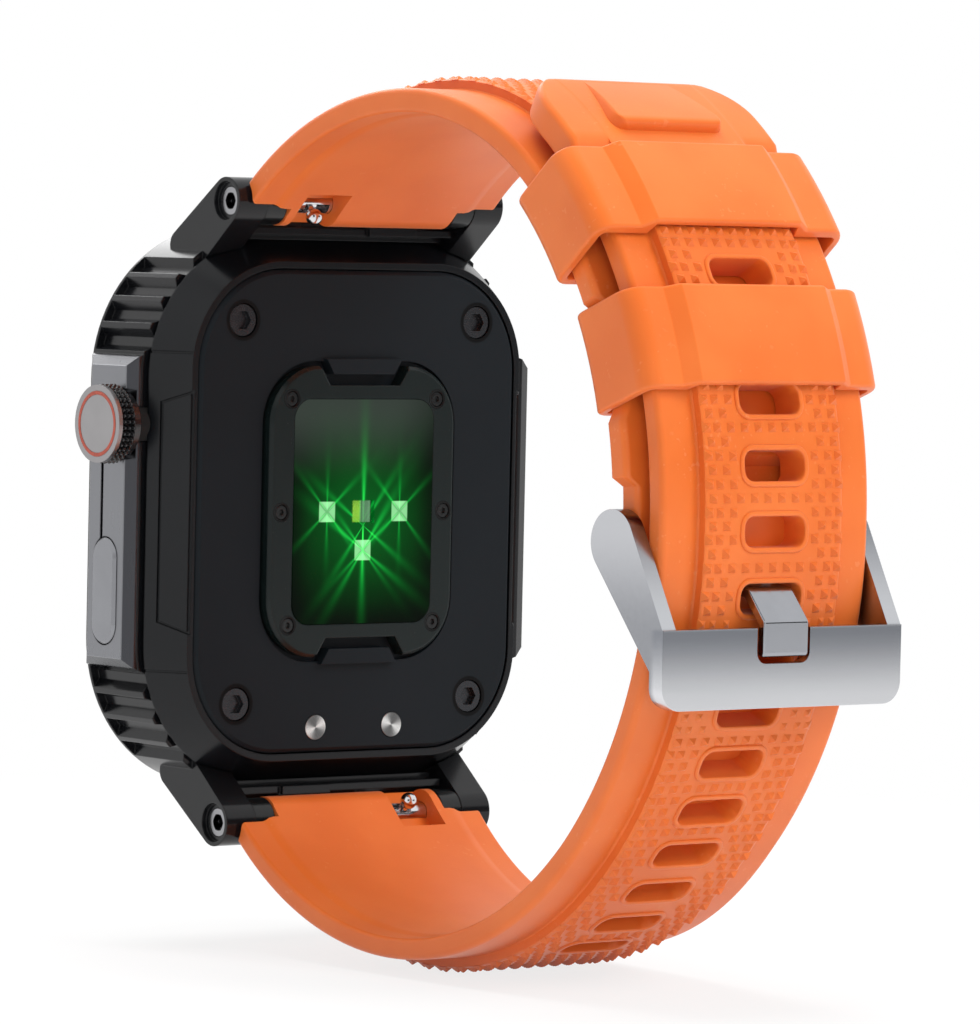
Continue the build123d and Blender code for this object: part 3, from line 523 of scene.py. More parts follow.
def long_ring(s):
    """Section of the long strap; over the last bit it is squeezed, which rounds the tip."""
    bare_until = loop_r * radians(bare_deg)
    on_tip = ease(tip_flat_s - 0.1, tip_flat_s + 0.4, s)
    high = rise * ease(bare_until, bare_until + 1.2, s) * (1 - on_tip)
    thick = lap_rim + (tip_t - lap_rim) * on_tip
    half = long_half_at(s)
    ring = []
    left = band_end - s
    round_end = 0.9
    squeeze = sqrt(max(0.12, 1 - max(0.0, (round_end - left) / round_end) ** 2))
    for x, height in strap_outline(half, thick, max(high, 0.02), min(panel_half, half - 1.0)):
        middle = thick * 0.4
        ring.append(long_route.point(s, x, middle + (height - middle) * squeeze))
    return ring


def slot_outline(grow, steps=5):
    points = []
    for sx, st, deg in ((1, 1, 0), (-1, 1, 90), (-1, -1, 180), (1, -1, 270)):
        centre = (sx * (slot_w / 2 - slot_r), st * (slot_h / 2 - slot_r))
        points += arc_points(centre, slot_r + grow, deg, deg + 90, steps)
    return points


def laid_on_strap(s, base, outline, height):
    """An outline in the long strap's surface at s, lifted from base by a height."""
    deg = radians(long_route.at(s)[2])
    out = Vector((0, cos(deg), sin(deg)))
    along = Vector((0, -sin(deg), cos(deg)))
    return [base + Vector((x, 0, 0)) + along * t + out * height for x, t in outline]


def slot_prism(s, floor, outline):
    base = long_route.point(s, 0, 0.0)
    rings = [laid_on_strap(s, base, outline, height) for height in (floor, above_strap)]
    return temporary("slot", loft(rings))


def slot_cutters():
    """Slots up to the one above the prong are blind; its own is open where it passes."""
    passage = []
    for x, t in slot_outline(0.0):
        x, t = max(-prong_room, min(prong_room, x)), max(prong_low, min(prong_high, t))
        passage.append((x, t))
    made = [slot_prism(tongue_s, right_through, passage)]
    for s in slot_places:
        blind = s < tongue_s + 1.5 * pitch_above
        made.append(slot_prism(s, blind_floor if blind else right_through, slot_outline(0.0)))
    return made


def turned_to(side, made):
    """Shapes are drawn at 12 o'clock (side 1); half a turn takes them to 6 (side -1)."""
    for shape in made:
        shape.data.transform(Matrix.Rotation(0.0 if side > 0 else pi, 4, "Y"))
    return made


def ear_room(side):
    """Room for the two lug ears, which stand outside the middle of the strap's end."""
    outline = nearly_round((lug_y, lug_z), 2.35)
    spans = ((8.8, 16.0), (-16.0, -8.8))
    return turned_to(side, [prism("ear_room", outline, x0, x1) for x0, x1 in spans])


def bar_room(side):
    """Room for the spring bar and its release knob."""
    cutters = [prism("bar_room", nearly_round((lug_y, lug_z), 0.94), -16.5, 16.5)]
    lean = radians(-43.0)
    out = (cos(lean), sin(lean))
    up = (-sin(lean), cos(lean))
    near, far, half = 0.35, 4.0, 3
    pocket = []
    for a, b in ((near, -half), (far, -half), (far, half), (near, half)):
        pocket.append((lug_y + a * out[0] + b * up[0], lug_z + a * out[1] + b * up[1]))
    cutters.append(prism("pocket", pocket, 3.48, 7.98))
    return turned_to(side, cutters)


def lug_eye(side):
    eye = prism("eye", nearly_round((lug_y, lug_z), eye_r, 3, 355), -8.75, 8.75)
    return turned_to(side, [eye])


places = stations(0.0, band_end - tip_r, 0.8)
places += stations(band_end - tip_r, band_end - 1.0, 0.5)[1:]
places += [band_end - left for left in (0.7, 0.45, 0.25, 0.1, 0.02)]
strap_long = temporary("strap_long", loft([long_ring(s) for s in places]))
combine(strap_long, "DIFFERENCE", ear_room(-1))
combine(strap_long, "UNION", lug_eye(-1))
combine(strap_long, "DIFFERENCE", bar_room(-1) + slot_cutters())
moulded(strap_long, ["strap_6"])

# %% [markdown]
# ## Frames round the slots
# Each slot has a raised soft lip. It is a small ring with its own section, so the wall of
# the slot and the lip are one smooth surface.

# %% Slot frames
lip_section = [(-0.03, -1.0), (-0.03, 0.02), (0.02, 0.1), (0.1, 0.15)]
lip_section += [(0.28, 0.15), (0.37, 0.1), (0.42, 0.02), (0.42, -0.3)]
lips = bmesh.new()
for s in slot_places:
    base = long_route.point(s, 0, lap_rim + rise)
    columns = []
    for grow, height in lip_section:
        columns.append(laid_on_strap(s, base, slot_outline(grow), height))
    loop_loft([list(ring) for ring in zip(*columns)], lips)
moulded(temporary("slot_lips", lips))

# %% [markdown]
# ## Pyramids
# The raised middle is covered with rows of small pyramids, every other row shifted by half a
# step. They stay low under the buckle's bar, and leave room round the slots.


# %% Pyramids
half_x, half_s, half_crown, sunk = 0.45, 0.42, 0.04, 0.08
pitch_x, pitch_s, slot_margin = 1.4, 1.03, 0.62
row_end, last_x = 7.2, 6.66


def pyramid(shape, route, s, x, base_height, height):
    low, high = [], []
    for sx, st in ((-1, -1), (1, -1), (1, 1), (-1, 1)):
        foot = route.point(s + st * half_s, x + sx * half_x, base_height - sunk)
        low.append(shape.verts.new(foot))
        crown = route.point(s + st * half_crown, x + sx * half_crown, base_height + height)
        high.append(shape.verts.new(crown))
    skin(shape, [low, high])
    shape.faces.new(list(reversed(low)))
    shape.faces.new(high)


def pyramid_rows(name, route, start, end, base_height, height_at, holes):
    shape = bmesh.new()
    count = 0
    room_s, room_x = slot_h / 2 + slot_margin, slot_w / 2 + slot_margin
    for row in range(int((end - start) / pitch_s)):
        s = start + pitch_s * (row + 0.5)
        shift = 0.5 * (row % 2)
        for column in range(-5, 6):
            x = (column + shift) * pitch_x
            near_slot = any(abs(s - hole) < room_s for hole in holes) and abs(x) < room_x
            if abs(x) < row_end and not near_slot:
                x = max(-last_x, min(last_x, x))
                pyramid(shape, route, s, x, base_height, height_at(s))
                count += 1
    print(name, count, "pyramids")
    moulded(temporary(name, shape), crease=20.0)


def low_under_bar(s):
    z, deg = long_route.at(s)[1:]
    under_bar = -14.0 < z < -5.5 and deg < 0
    return 0.16 if under_bar else 0.37


pyramid_rows(
    "long_strap_pyramids",
    long_route,
    loop_r * radians(bare_deg) + 1.5,
    tip_flat_s - 1.2,
    lap_rim + rise,
    low_under_bar,
    slot_places,
)

# %% [markdown]
# ## Thumb pad
# Near the tip the strap is smooth, and a wedge rises towards the keeper. Its ledge is what
# a thumb pushes when the strap is fed through the keepers.

# %% Thumb pad
pad_from = top_s + (top_r + layer) * radians(2.2)
pad_to = band_end - 1.0
pad_half, pad_corner, pad_narrows, pad_sunk = 5.9, 1.4, 1.6, -0.3


def pad_ring(s, lift):
    share = (s - pad_from) / (pad_to - pad_from)
    high = (1 - share) * lift + 0.02
    start = min(s - pad_from, pad_corner)
    half = pad_half - pad_corner + sqrt(max(0.0, pad_corner**2 - (pad_corner - start) ** 2))
    half -= pad_narrows * share
    base = tip_t - 0.02
    soft = min(0.25, high * 0.5)
    side = half - 0.25 * high
    right = [(0, pad_sunk), (half + 0.15, pad_sunk), (half + 0.1, 0), (side, high - soft)]
    right += [(side - soft * 0.35, high - soft * 0.3), (side - soft, high), (0, high)]
    return [long_route.point(s, x, base + height) for x, height in both_sides(right)]


ledge = ((0.0, 0.05), (0.12, 0.6), (0.3, 0.9), (0.5, 1.0))
pad_rings = [pad_ring(pad_from + step, lift) for step, lift in ledge]
pad_rings += [pad_ring(s, 1.0) for s in stations(pad_from + 0.8, pad_to, 0.5)]
moulded(temporary("thumb_pad", loft(pad_rings)))

# %% [markdown]
# ## The short strap
# It carries the buckle at one end and the 12 o'clock lug at the other. It is narrower under
# the fixed keeper, which sits in that waist, and beside the buckle's arms.

# %% Short strap
keeper_s = lap_r * radians(keeper_fixed_deg - pivot_deg)
waist_half, arms_half = 11.1, 10.72


def short_half_at(s):
    half = taper(short_route.at(s)[0], short_half)
    waist = 1 - ease(keeper_l / 2 + 0.1, keeper_l / 2 + 0.5, abs(s - keeper_s))
    half = half + (waist_half - half) * waist
    beside_arms = 1 - ease(4.2, 4.7, s)
    return half + (arms_half - half) * beside_arms


def short_ring(s):
    panel_from = 5.5
    panel_to = short_route.length - hang_r * radians(bare_deg)
    high = rise * ease(panel_from, panel_from + 0.8, s)
    high *= 1 - ease(panel_to - 0.8, panel_to, s)
    squeeze = 1.0
    if s < 0:
        squeeze = sqrt(max(0.05, 1 - (s / (rim / 2)) ** 2))
    ring = []
    for x, height in strap_outline(short_half_at(max(s, 0.0)), rim, max(high, 0.02)):
        ring.append(short_route.point(s, x, rim / 2 + (height - rim / 2) * squeeze))
    return ring


places = [-1.08, -1.0, -0.85, -0.6, -0.3] + stations(0.0, short_route.length, 0.7)
strap_short = temporary("strap_short", loft([short_ring(s) for s in places]))
combine(strap_short, "DIFFERENCE", ear_room(1))
combine(strap_short, "UNION", lug_eye(1))
room = prism("tongue_room", arc_points((pivot_y, pivot_z), rim, 0, 350, 35), -2.4, 2.4)
combine(strap_short, "DIFFERENCE", bar_room(1) + [room])
moulded(strap_short, ["strap_12"])
covered = short_route.length - hang_r * radians(hang_end - 90.0)
covered -= top_r * radians(90.0 - tip_end + 1.5)
pyramid_rows(
    "short_strap_pyramids",
    short_route,
    covered,
    short_route.length - hang_r * radians(bare_deg + 0.5),
    rim + rise,
    lambda s: 0.24,
    [],
)

# %% [markdown]
# ## Keepers
# Two loops of the same silicone hold the strap's free end. Their section is a flat box with
# a raised middle, swept round the wrist between two parallel ends. The outline shrinks a
# little at each end, so that the lips of the loop are round.


# %% Keepers
def keeper(name, node, body, middle_deg, hole_half):
    foot_in = lap_r - 0.2
    rim_in = lap_r + layer + lap_rim + 0.25
    top_in = lap_r + layer + lap_rim + rise + 0.45
    wall, corner = 0.85, 1.7
    half = hole_half + wall
    foot, rim_out, top_out = foot_in - wall, rim_in + wall, top_in + 0.6
    foot_corner = 1.2
    step = panel_half + 0.3
    outer = [(0.0, foot)]
    outer += arc_points((half - foot_corner, foot + foot_corner), foot_corner, -90, 0, 6)
    outer += arc_points((half - corner, rim_out - corner), corner, 0, 90, 8)
    outer += [(step + 1.35, rim_out), (step + 1.2, rim_out + 0.03)]
    outer += [(step + 0.1, top_out - 0.03), (step - 0.05, top_out), (0.0, top_out)]
    inner = [(0.0, foot_in), (hole_half - 0.3, foot_in), (hole_half - 0.09, foot_in + 0.09)]
    inner += [(hole_half, foot_in + 0.3), (hole_half, rim_in - 0.5)]
    inner += [(hole_half - 0.15, rim_in - 0.15), (hole_half - 0.5, rim_in)]
    inner += [(step + 0.2, rim_in), (step - 0.1, top_in), (0.0, top_in)]
    middle_r = (foot + top_out) / 2

    def row(outline, amount, t):
        """Corners of a shrunk outline at a distance t from the keeper's middle."""
        points = []
        for x, r in both_sides(outline):
            r = middle_r + (r - middle_r) * (1 - amount / (top_out - middle_r))
            points.append(Vector((x * (1 - amount / half), sqrt(r * r - t * t), t)))
        return corners(shape, points)

    soft, end, inner_share = 0.3, keeper_l / 2, 0.35
    steps = []
    for a in (0, pi / 8, pi / 4, 3 * pi / 8, pi / 2):
        steps.append((end - soft + soft * sin(a), soft - soft * cos(a)))
    marks = [(-t, amount) for t, amount in reversed(steps)]
    marks += [(t, 0.0) for t in stations(-end + soft, end - soft, 1.2)[1:-1]] + steps
    shape = bmesh.new()
    outside = [row(outer, amount, t) for t, amount in marks]
    inside = [row(inner, -amount * inner_share, t) for t, amount in marks]
    skin(shape, outside)
    skin(shape, inside)
    for out_ring, in_ring in ((outside[0], inside[0]), (outside[-1], inside[-1])):
        edges = []
        for loop in (out_ring, in_ring):
            for index, vertex in enumerate(loop):
                edges.append(shape.edges.get((vertex, loop[(index + 1) % len(loop)])))
        bmesh.ops.triangle_fill(shape, edges=edges, use_beauty=True, use_dissolve=False)
    made = temporary(name, shape)
    turned = Matrix.Rotation(radians(middle_deg), 4, "X")
    made.data.transform(Matrix.Translation(Vector((0, lap_y, lap_z))) @ turned)
    moulded(made, [node], body)


keeper("keeper_near_buckle", "keeper_fixed", "case", keeper_fixed_deg, 11.3)
keeper("keeper_near_tip", "keeper_loose", "loose_keeper", keeper_loose_deg, 12.05)

# %% [markdown]
# ## Crown barrel
# The crown is turned from metal and its side is cut with a diamond knurl, so that a gloved
# finger can turn it. A knurl is two crossed sets of grooves: the height at a place is the
# lower of two triangle waves, one for each direction.

# %% Knurled barrel
crown_y, crown_z, crown_r = -6.0, 7.3, 3.3
barrel_x0, barrel_x1, collar_x, collar_r = 21.7, 23.15, 20.9, 2.8
teeth, rows_of_teeth = 40, 3
around, across = teeth * 6, rows_of_teeth * 6


def ridge(value):
    part = value % 1.0
    return 1 - abs(2 * part - 1)


end_r, stem_r, bore_r = crown_r - 0.3, 0.6, 0.52
groove_r, tooth_h = crown_r - 0.34, 0.42
profile = [(collar_x, stem_r), (collar_x, collar_r - 0.1), (collar_x + 0.1, collar_r)]
profile += [(barrel_x0 - 0.02, collar_r), (barrel_x0, end_r)]
knurl_rings = [[corner] * around for corner in profile]
for step in range(across + 1):
    share = step / across
    x = barrel_x0 + 0.06 + (barrel_x1 - barrel_x0 - 0.1) * share
    ring = []
    for index in range(around):
        a = index * teeth / around
        b = share * rows_of_teeth
        height = min(1.0, 1.3 * min(ridge(a), ridge(b)))
        ring.append((x, groove_r + tooth_h * height))
    knurl_rings.append(ring)
knurl_rings += [[(barrel_x1, end_r)] * around, [(barrel_x1, bore_r)] * around]
rings = []
for ring in knurl_rings:
    points = []
    for index, (x, r) in enumerate(ring):
        a = 2 * pi * index / around
        points.append(Vector((x, crown_y + r * cos(a), crown_z + r * sin(a))))
    rings.append(points)
crown_barrel = temporary("crown_barrel", loft(rings))
print("knurl", teeth, "teeth round,", rows_of_teeth, "rows")

# %% [markdown]
# ## Buckle
# The frame and tongue are stamped from polished steel. Their shape is nearly right, so a
# copy of each is cleaned of its inner triangle edges and every sharp edge is rolled over
# with a small bevel, which is what catches the light on real stamped metal. The tongue's
# copy is also made a little wider.


# %% Bevelled copies
def bevelled_copy(node, name, width, sharp=30.0, steps=3):
    shape = bmesh.new()
    shape.from_mesh(nodes[node].data)
    verts = shape.verts
    bmesh.ops.scale(shape, vec=Vector((1000, 1000, 1000)), verts=verts)
    bmesh.ops.remove_doubles(shape, verts=verts, dist=0.002)
    bmesh.ops.dissolve_limit(shape, angle_limit=radians(1.0), verts=verts, edges=shape.edges)
    edges = []
    for edge in shape.edges:
        if len(edge.link_faces) == 2 and edge.calc_face_angle(0.0) > radians(sharp):
            edges.append(edge)
    rolled = {"profile": 0.5, "affect": "EDGES", "clamp_overlap": True}
    bmesh.ops.bevel(shape, geom=edges, offset=width, segments=steps, **rolled)
    return temporary(name, shape)


buckle_plate = bevelled_copy("buckle_frame", "buckle_bent_plate", 0.22)
tongue_plate = bevelled_copy("buckle_tongue", "buckle_prong", 0.34, steps=4)
wider = 1.09
tongue_plate.data.transform(Matrix.Diagonal((wider, 1, 1, 1)))
print("buckle copies made")

# %% [markdown]
# ## Metals
# Steel is a metallic shader whose colour hardly changes, so its look comes from roughness.
# The buckle's plate has a fine grain across the bar. Its tone is painted shade: the bar
# deepens towards its top and the arms lighten towards theirs. The cut rims of the arms,
# told from the faces by the direction they face, have painted light of their own, lighter
# towards the bottom and with a painted highlight along the top edge. The charging contacts
# are turned on a lathe: their fine rings mark the tone, roughness and bump, and two bright
# wedges round each, drawn by the angle, are a painted highlight.


# %% Metal finishes
def metal(name, tone, roughness, edge_mm=0.05, shaded_socket_r=0.0):
    """Plain metal, with painted shade: black inside a socket of the given radius round the lug
    screws' line.
    """
    finish = Finish(name, Metallic=1.0)
    cloud = finish.noise(2.5, 2.0)
    hair = finish.noise(0.05, 1.0)
    light = [min(255, part * 1.06 + 4) for part in tone]
    colour = finish.mix(tone, light, cloud)
    # Painted shade: black inside the screws' sockets.
    if shaded_socket_r:
        away = finish.length(finish.y - lug_y, abs(finish.z) - lug_z)
        outside = finish.between(shaded_socket_r - 0.05, shaded_socket_r + 0.05, away)
        colour = finish.mix((4, 4, 5), colour, outside)
    finish.set(Base_Color=colour, Roughness=roughness + cloud * 0.06)
    finish.relief(hair, 0.001, edge_mm)
    return finish.material


def brushed_plate():
    finish = Finish("buckle_steel", Metallic=1.0)
    hair = finish.noise(0.6, 3.0, (0.04, 1.0, 1.0))
    z = finish.z
    on_bar = finish.between(53.6, 54.4, finish.y) * (1 - finish.between(-6.6, -6.2, z))
    # Painted shade: the bar's tone deepens towards its top.
    height = finish.between(-12.6, -6.4, z)
    bar_painted_shade = finish.mix((226, 227, 230), (132, 135, 142), height)
    # Painted light: the arms' tone lightens towards their top.
    height = finish.between(-7.0, 1.5, z)
    arm_painted_light = finish.mix((150, 152, 157), (196, 197, 201), height)
    tone = finish.mix(arm_painted_light, bar_painted_shade, on_bar)
    # Painted light on the cut rims: lighter towards the bottom, with a painted highlight along
    # their top edge.
    depth = 1 - finish.between(-6.0, 4.0, z)
    rim_painted_light = finish.mix((112, 114, 120), (196, 198, 202), depth)
    rim_painted_light = finish.mix(rim_painted_light, (236, 236, 236), finish.between(7.4, 7.9, z))
    on_rim = (1 - finish.between(0.45, 0.6, abs(finish.facing_x))) * (1 - on_bar)
    tone = finish.mix(tone, rim_painted_light, on_rim)
    tone = finish.mix(tone, (238, 239, 243), hair * 0.08)
    finish.set(Base_Color=tone, Roughness=0.2 + hair * 0.06)
    finish.relief(hair, 0.0006)
    return finish.material


def turned_contact():
    """Lathe rings, and two wedges of painted highlight, round the middle of each contact, at
    (+-4.04, -18.4).
    """
    finish = Finish("contact_steel", Metallic=1.0)
    side_x = abs(finish.x) - 4.04
    side_z = finish.z + 18.4
    angle = finish.maths("ARCTAN2", side_z, side_x)
    # Painted highlight: two bright wedges, drawn by the angle round the contact's middle.
    painted_highlight_wedge = finish.maths("COSINE", angle * 2.0 + 0.9) * 0.5 + 0.5
    rings = finish.maths("SINE", finish.length(side_x, side_z) * 60.0) * 0.5 + 0.5
    tone = finish.mix((120, 120, 120), (250, 250, 248), painted_highlight_wedge**2.0)
    tone = finish.mix(tone, (90, 90, 90), rings * 0.25)
    finish.set(Base_Color=tone, Roughness=0.22 + rings * 0.1)
    finish.relief(rings, 0.004, 0.08)
    return finish.material


steel = metal("steel", (190, 190, 192), 0.28)
prong_steel = metal("prong_steel", (160, 162, 167), 0.12, 0.0)
contact_steel = turned_contact()
polished = metal("polished_steel", (214, 214, 216), 0.14)
foil = metal("battery_foil", (176, 178, 182), 0.35)
piece(buckle_plate, "buckle", brushed_plate(), ["buckle_frame"], 24.0)
piece(tongue_plate, "tongue", prong_steel, ["buckle_tongue"], 24.0)

# %% [markdown]
# ## Black parts
# The case is black, but no two parts reflect alike: the back is matt with a fine moulded
# grain, the bevel round it is satin, the front frame is glossy enough to show its facets,
# and the crown's block is anodised gunmetal. Each is a dark base with its own roughness.
# Bevelled normals round the long edges of the solids so that they draw a thin light line.


# %% Dark finishes
def dark(name, tone, roughness, specular, size=0.1, depth=0.003, edge=0.12, metallic=0.0, shaded_wells=()):
    """A dark base with a grain of that size and depth. Painted shade makes it black in its wells
    round
    the screws: (x, z, r) places, the same in all four corners."""
    finish = Finish(name, Specular_IOR_Level=specular, Metallic=metallic)
    grain = finish.noise(size, 2.0)
    cloud = finish.noise(12.0, 2.0)
    worn = finish.between(0.68, 0.74, finish.noise(0.7, 3.0)) * 0.15
    light = [min(255, part * 1.25 + 5) for part in tone]
    colour = finish.mix(tone, light, cloud * 0.5 + worn)
    # Painted shade: black in the wells round the screws.
    for x, z, r in shaded_wells:
        away = finish.length(abs(finish.x) - x, abs(finish.z) - z)
        colour = finish.mix((2, 2, 3), colour, finish.between(r - 0.06, r + 0.06, away))
    finish.set(Base_Color=colour, Roughness=roughness + 0.1 * grain)
    finish.relief(grain, depth, edge)
    return finish.material


def front_frame_finish():
    """Black frame whose crown block is brushed gunmetal; the block's flat face is painted lighter
    than its bevel, as painted light.
    """
    finish = Finish("case_black", Specular_IOR_Level=0.34)
    on_block = finish.between(20.0, 20.06, finish.x) * finish.inside(13.62, finish.z + 0.15, 0.03)
    hair = finish.noise(0.5, 3.0, (1.0, 1.0, 0.05))
    cloud = finish.noise(10.0, 2.0)
    black = finish.mix((13, 14, 16), (20, 21, 24), cloud)
    # Painted light: the block's flat face is painted lighter than its bevel.
    painted_lit_face = finish.between(21.1, 21.16, finish.x)
    block = finish.mix((74, 75, 79), (136, 137, 141), painted_lit_face * (0.94 + hair * 0.06))
    finish.set(Base_Color=finish.mix(black, block, on_block), Metallic=on_block * 0.95)
    finish.set(Roughness=0.16 + cloud * 0.08 + on_block * (0.06 + hair * 0.05))
    finish.relief(finish.noise(0.08), 0.0015, 0.14)
    return finish.material


case_black = front_frame_finish()
body_black = dark("body_black", (12, 14, 17), 0.2, 0.3, 0.1, 0.001, 0.15)
# Painted shade in the wells round the back screws.
back_shaded_wells = [(12.4, 16.2, 1.75)]
back_plastic = dark("back_plastic", (20, 25, 29), 0.42, 0.14, 0.12, shaded_wells=back_shaded_wells)
black_gloss = dark("black_gloss", (15, 17, 18), 0.14, 0.4, 0.2, 0.0005, 0.16)
# Painted shade in the wells round the sensor ring's screws.
ring_shaded_wells = [(7.7, 9.6, 0.85), (8.6, 0.0, 0.85)]
ring_gloss = dark("ring_gloss", (17, 25, 25), 0.2, 0.26, 0.2, 0.0005, 0.2, shaded_wells=ring_shaded_wells)
screw_black = dark("screw_black", (56, 57, 60), 0.22, 0.5, 0.1, 0.002, 0.08, 0.8)
lug_screw = metal("lug_screw", (150, 150, 153), 0.2, 0.06, shaded_socket_r=0.7)
knurl_black = dark("crown_black", (16, 16, 18), 0.16, 0.8, 0.1, 0.001, 0.0)
button_metal = metal("block_gunmetal", (140, 141, 145), 0.22, 0.12)
rubber = dark("seal_rubber", (28, 28, 28), 0.7, 0.3)
cover_glass = dark("cover_glass", (6, 6, 7), 0.04, 0.3, 0.5, 0.0, 0.0)
screen_off = dark("display", (8, 9, 12), 0.15, 0.5, 0.3, 0.0, 0.0)
chip_black = dark("chip", (40, 42, 44), 0.4, 0.5)
piece(crown_barrel, "crown", knurl_black, ["crown_knob"], 20.0)

# %% [markdown]
# ## Crown face and its ring
# The end of the crown is a disc of satin metal with a thin orange-red ring let into it.

# %% Crown face
crown_face = metal("crown_face", (152, 150, 151), 0.3, 0.12)
red = Finish("crown_red", Specular_IOR_Level=0.5)
lacquer = red.noise(0.4, 2.0)
lacquer_tone = red.mix((150, 52, 34), (196, 84, 58), lacquer)
red.set(Base_Color=lacquer_tone, Roughness=0.25 + lacquer * 0.1)
red.relief(lacquer, 0.004)
ceramic = dark("ceramic", (226, 222, 212), 0.35, 0.5)
flex = dark("flex", (150, 84, 30), 0.4, 0.5)
print("crown finishes made")

# %% [markdown]
# ## Pulse sensor
# Behind a dark glass sit three green lamps and a light detector. Lamp light spreads in the
# glass and, through its fine polish marks, into long rays. The glow is painted into the
# glass as emission: a soft pool of green, and for each lamp a star made from the angle and
# distance to it. The lamps' square faces, with the X of their facets, are painted there
# too. Only over the detector is the glass nearly clear, so that the chip shows through.

# %% Sensor glass
lamps = [(3.85, 0.0), (-3.85, 0.0), (0.0, -3.3)]
glass = Finish("sensor_glass", Specular_IOR_Level=0.04, Emission_Strength=1.0)


def star(x, z, rays, turned, reach, thin):
    """Rays from a place in the glass; reach is how far they go, and thin how fine they are."""
    side_x = glass.x - x
    side_z = glass.z - z
    angle = glass.maths("ARCTAN2", side_z, side_x)
    spoke = abs(glass.maths("COSINE", angle * (rays / 2) + turned)) ** thin
    fade = glass.maths("EXPONENT", glass.length(side_x, side_z) * (-1.0 / reach))
    return spoke * fade


away_x = glass.x * 0.95
away_z = glass.z + 0.6
pool = glass.maths("EXPONENT", (away_x * away_x + away_z * away_z) * -0.032)
quarter = pi / 2
rays = star(0.0, -3.3, 4, -quarter + 0.35, 2.6, 90.0)
rays = rays + star(0.0, -1.0, 2, -quarter, 3.2, 700.0) * 1.6
rays = rays + star(0.0, -1.2, 4, -quarter + 0.3, 2.6, 120.0) * 0.8
for x, z in lamps:
    rays = rays + star(x, z, 4, -quarter - 0.1, 1.6, 110.0) * 1.1
    rays = rays + star(x, z, 2, -quarter, 1.5, 500.0) * 0.9
edge = glass.inside(6.4, glass.x, 1.2) * glass.inside(8.6, glass.z, 1.2)
# Painted reflection: a faint pale glow over the upper part of the glass, fading along a slanted
# line.
painted_reflection = glass.between(2.0, 9.0, glass.z) * 0.05
painted_reflection = painted_reflection * glass.between(-9.0, 1.0, glass.x + glass.z * 0.4)
green = pool * 0.1 * (0.35 + edge * 0.65) + rays * (0.2 + pool * 0.75)
lit = 0.0
for x, z in lamps:
    side_x, side_z = abs(glass.x - x), abs(glass.z - z)
    square = glass.inside(0.84, side_x, 0.05) * glass.inside(0.86, side_z, 0.05)
    cross = glass.inside(0.16, side_x - side_z, 0.14)
    upper = glass.between(0.0, 0.5, side_z - side_x)
    lit = square * (0.66 - cross * 0.3 + upper * 0.16) + lit
red_part = green * green * 0.03 + painted_reflection * 0.8 + lit * 0.42
blue_part = green * 0.1 + painted_reflection * 0.85 + lit * 0.46
parts = {0: red_part, 1: green + painted_reflection + lit, 2: blue_part}
colour = glass.node("ShaderNodeCombineColor", {}, parts)
clear = glass.inside(1.15, glass.x, 0.1) * glass.inside(0.95, glass.z, 0.1)
smear = glass.noise(3.0, 3.0)
smear_tone = glass.mix((2, 4, 3), (4, 7, 5), smear)
glass.set(Base_Color=smear_tone, Roughness=0.05 + smear * 0.04)
glass.set(Emission_Color=colour, Alpha=1 - clear * 0.85)
print("sensor lamps at", lamps)

# %% Lamps, detector and their board
lamp = Finish("led", Emission_Strength=1.0)
glow = 0.0
for x, z in lamps:
    glow = lamp.inside(0.55, lamp.x - x, 0.35) * lamp.inside(0.65, lamp.z - z, 0.35) + glow
facet = abs(lamp.maths("SINE", lamp.x * 4.0)) * abs(lamp.maths("SINE", lamp.z * 4.0))
bright = lamp.mix((60, 225, 90), (205, 255, 205), glow * 0.7 + facet * 0.3)
lamp.set(Base_Color=(120, 230, 130), Emission_Color=bright, Roughness=0.3 + facet * 0.1)

# The detector is no lamp: its glow and its brighter traces are painted light, standing for the
# green lamps' light on it.
detector = Finish("detector_chip", Emission_Strength=0.6)
bricks = {"Vector": detector.spot, "Scale": 2600.0, "Mortar Size": 0.03}
cell = detector.node("ShaderNodeTexBrick", {}, bricks)
field = detector.between(-0.2, 0.1, detector.x)
base = detector.mix((30, 84, 44), (140, 200, 60), field)
detector.set(Base_Color=base, Roughness=0.35 + detector.noise(0.3) * 0.1)
painted_glow_lines = (1 - cell) * (1 - field) * 0.7
detector.set(Emission_Color=detector.mix(base, (190, 240, 200), painted_glow_lines))

board = Finish("circuit_board", Specular_IOR_Level=0.5)
track = board.between(0.52, 0.56, board.noise(1.2, 1.0, (1.0, 0.3, 1.0)))
track_tone = board.mix((14, 46, 26), (52, 92, 44), track)
board.set(Base_Color=track_tone, Roughness=0.4 + track * 0.1)
board.relief(track, 0.02)
print("sensor finishes made")

# %% [markdown]
# ## Finishes on the solids
# Every solid that stays visible takes its finish in its own material slot. A table of names
# keeps the choice in one place, and the loop says so if a piece were left out.

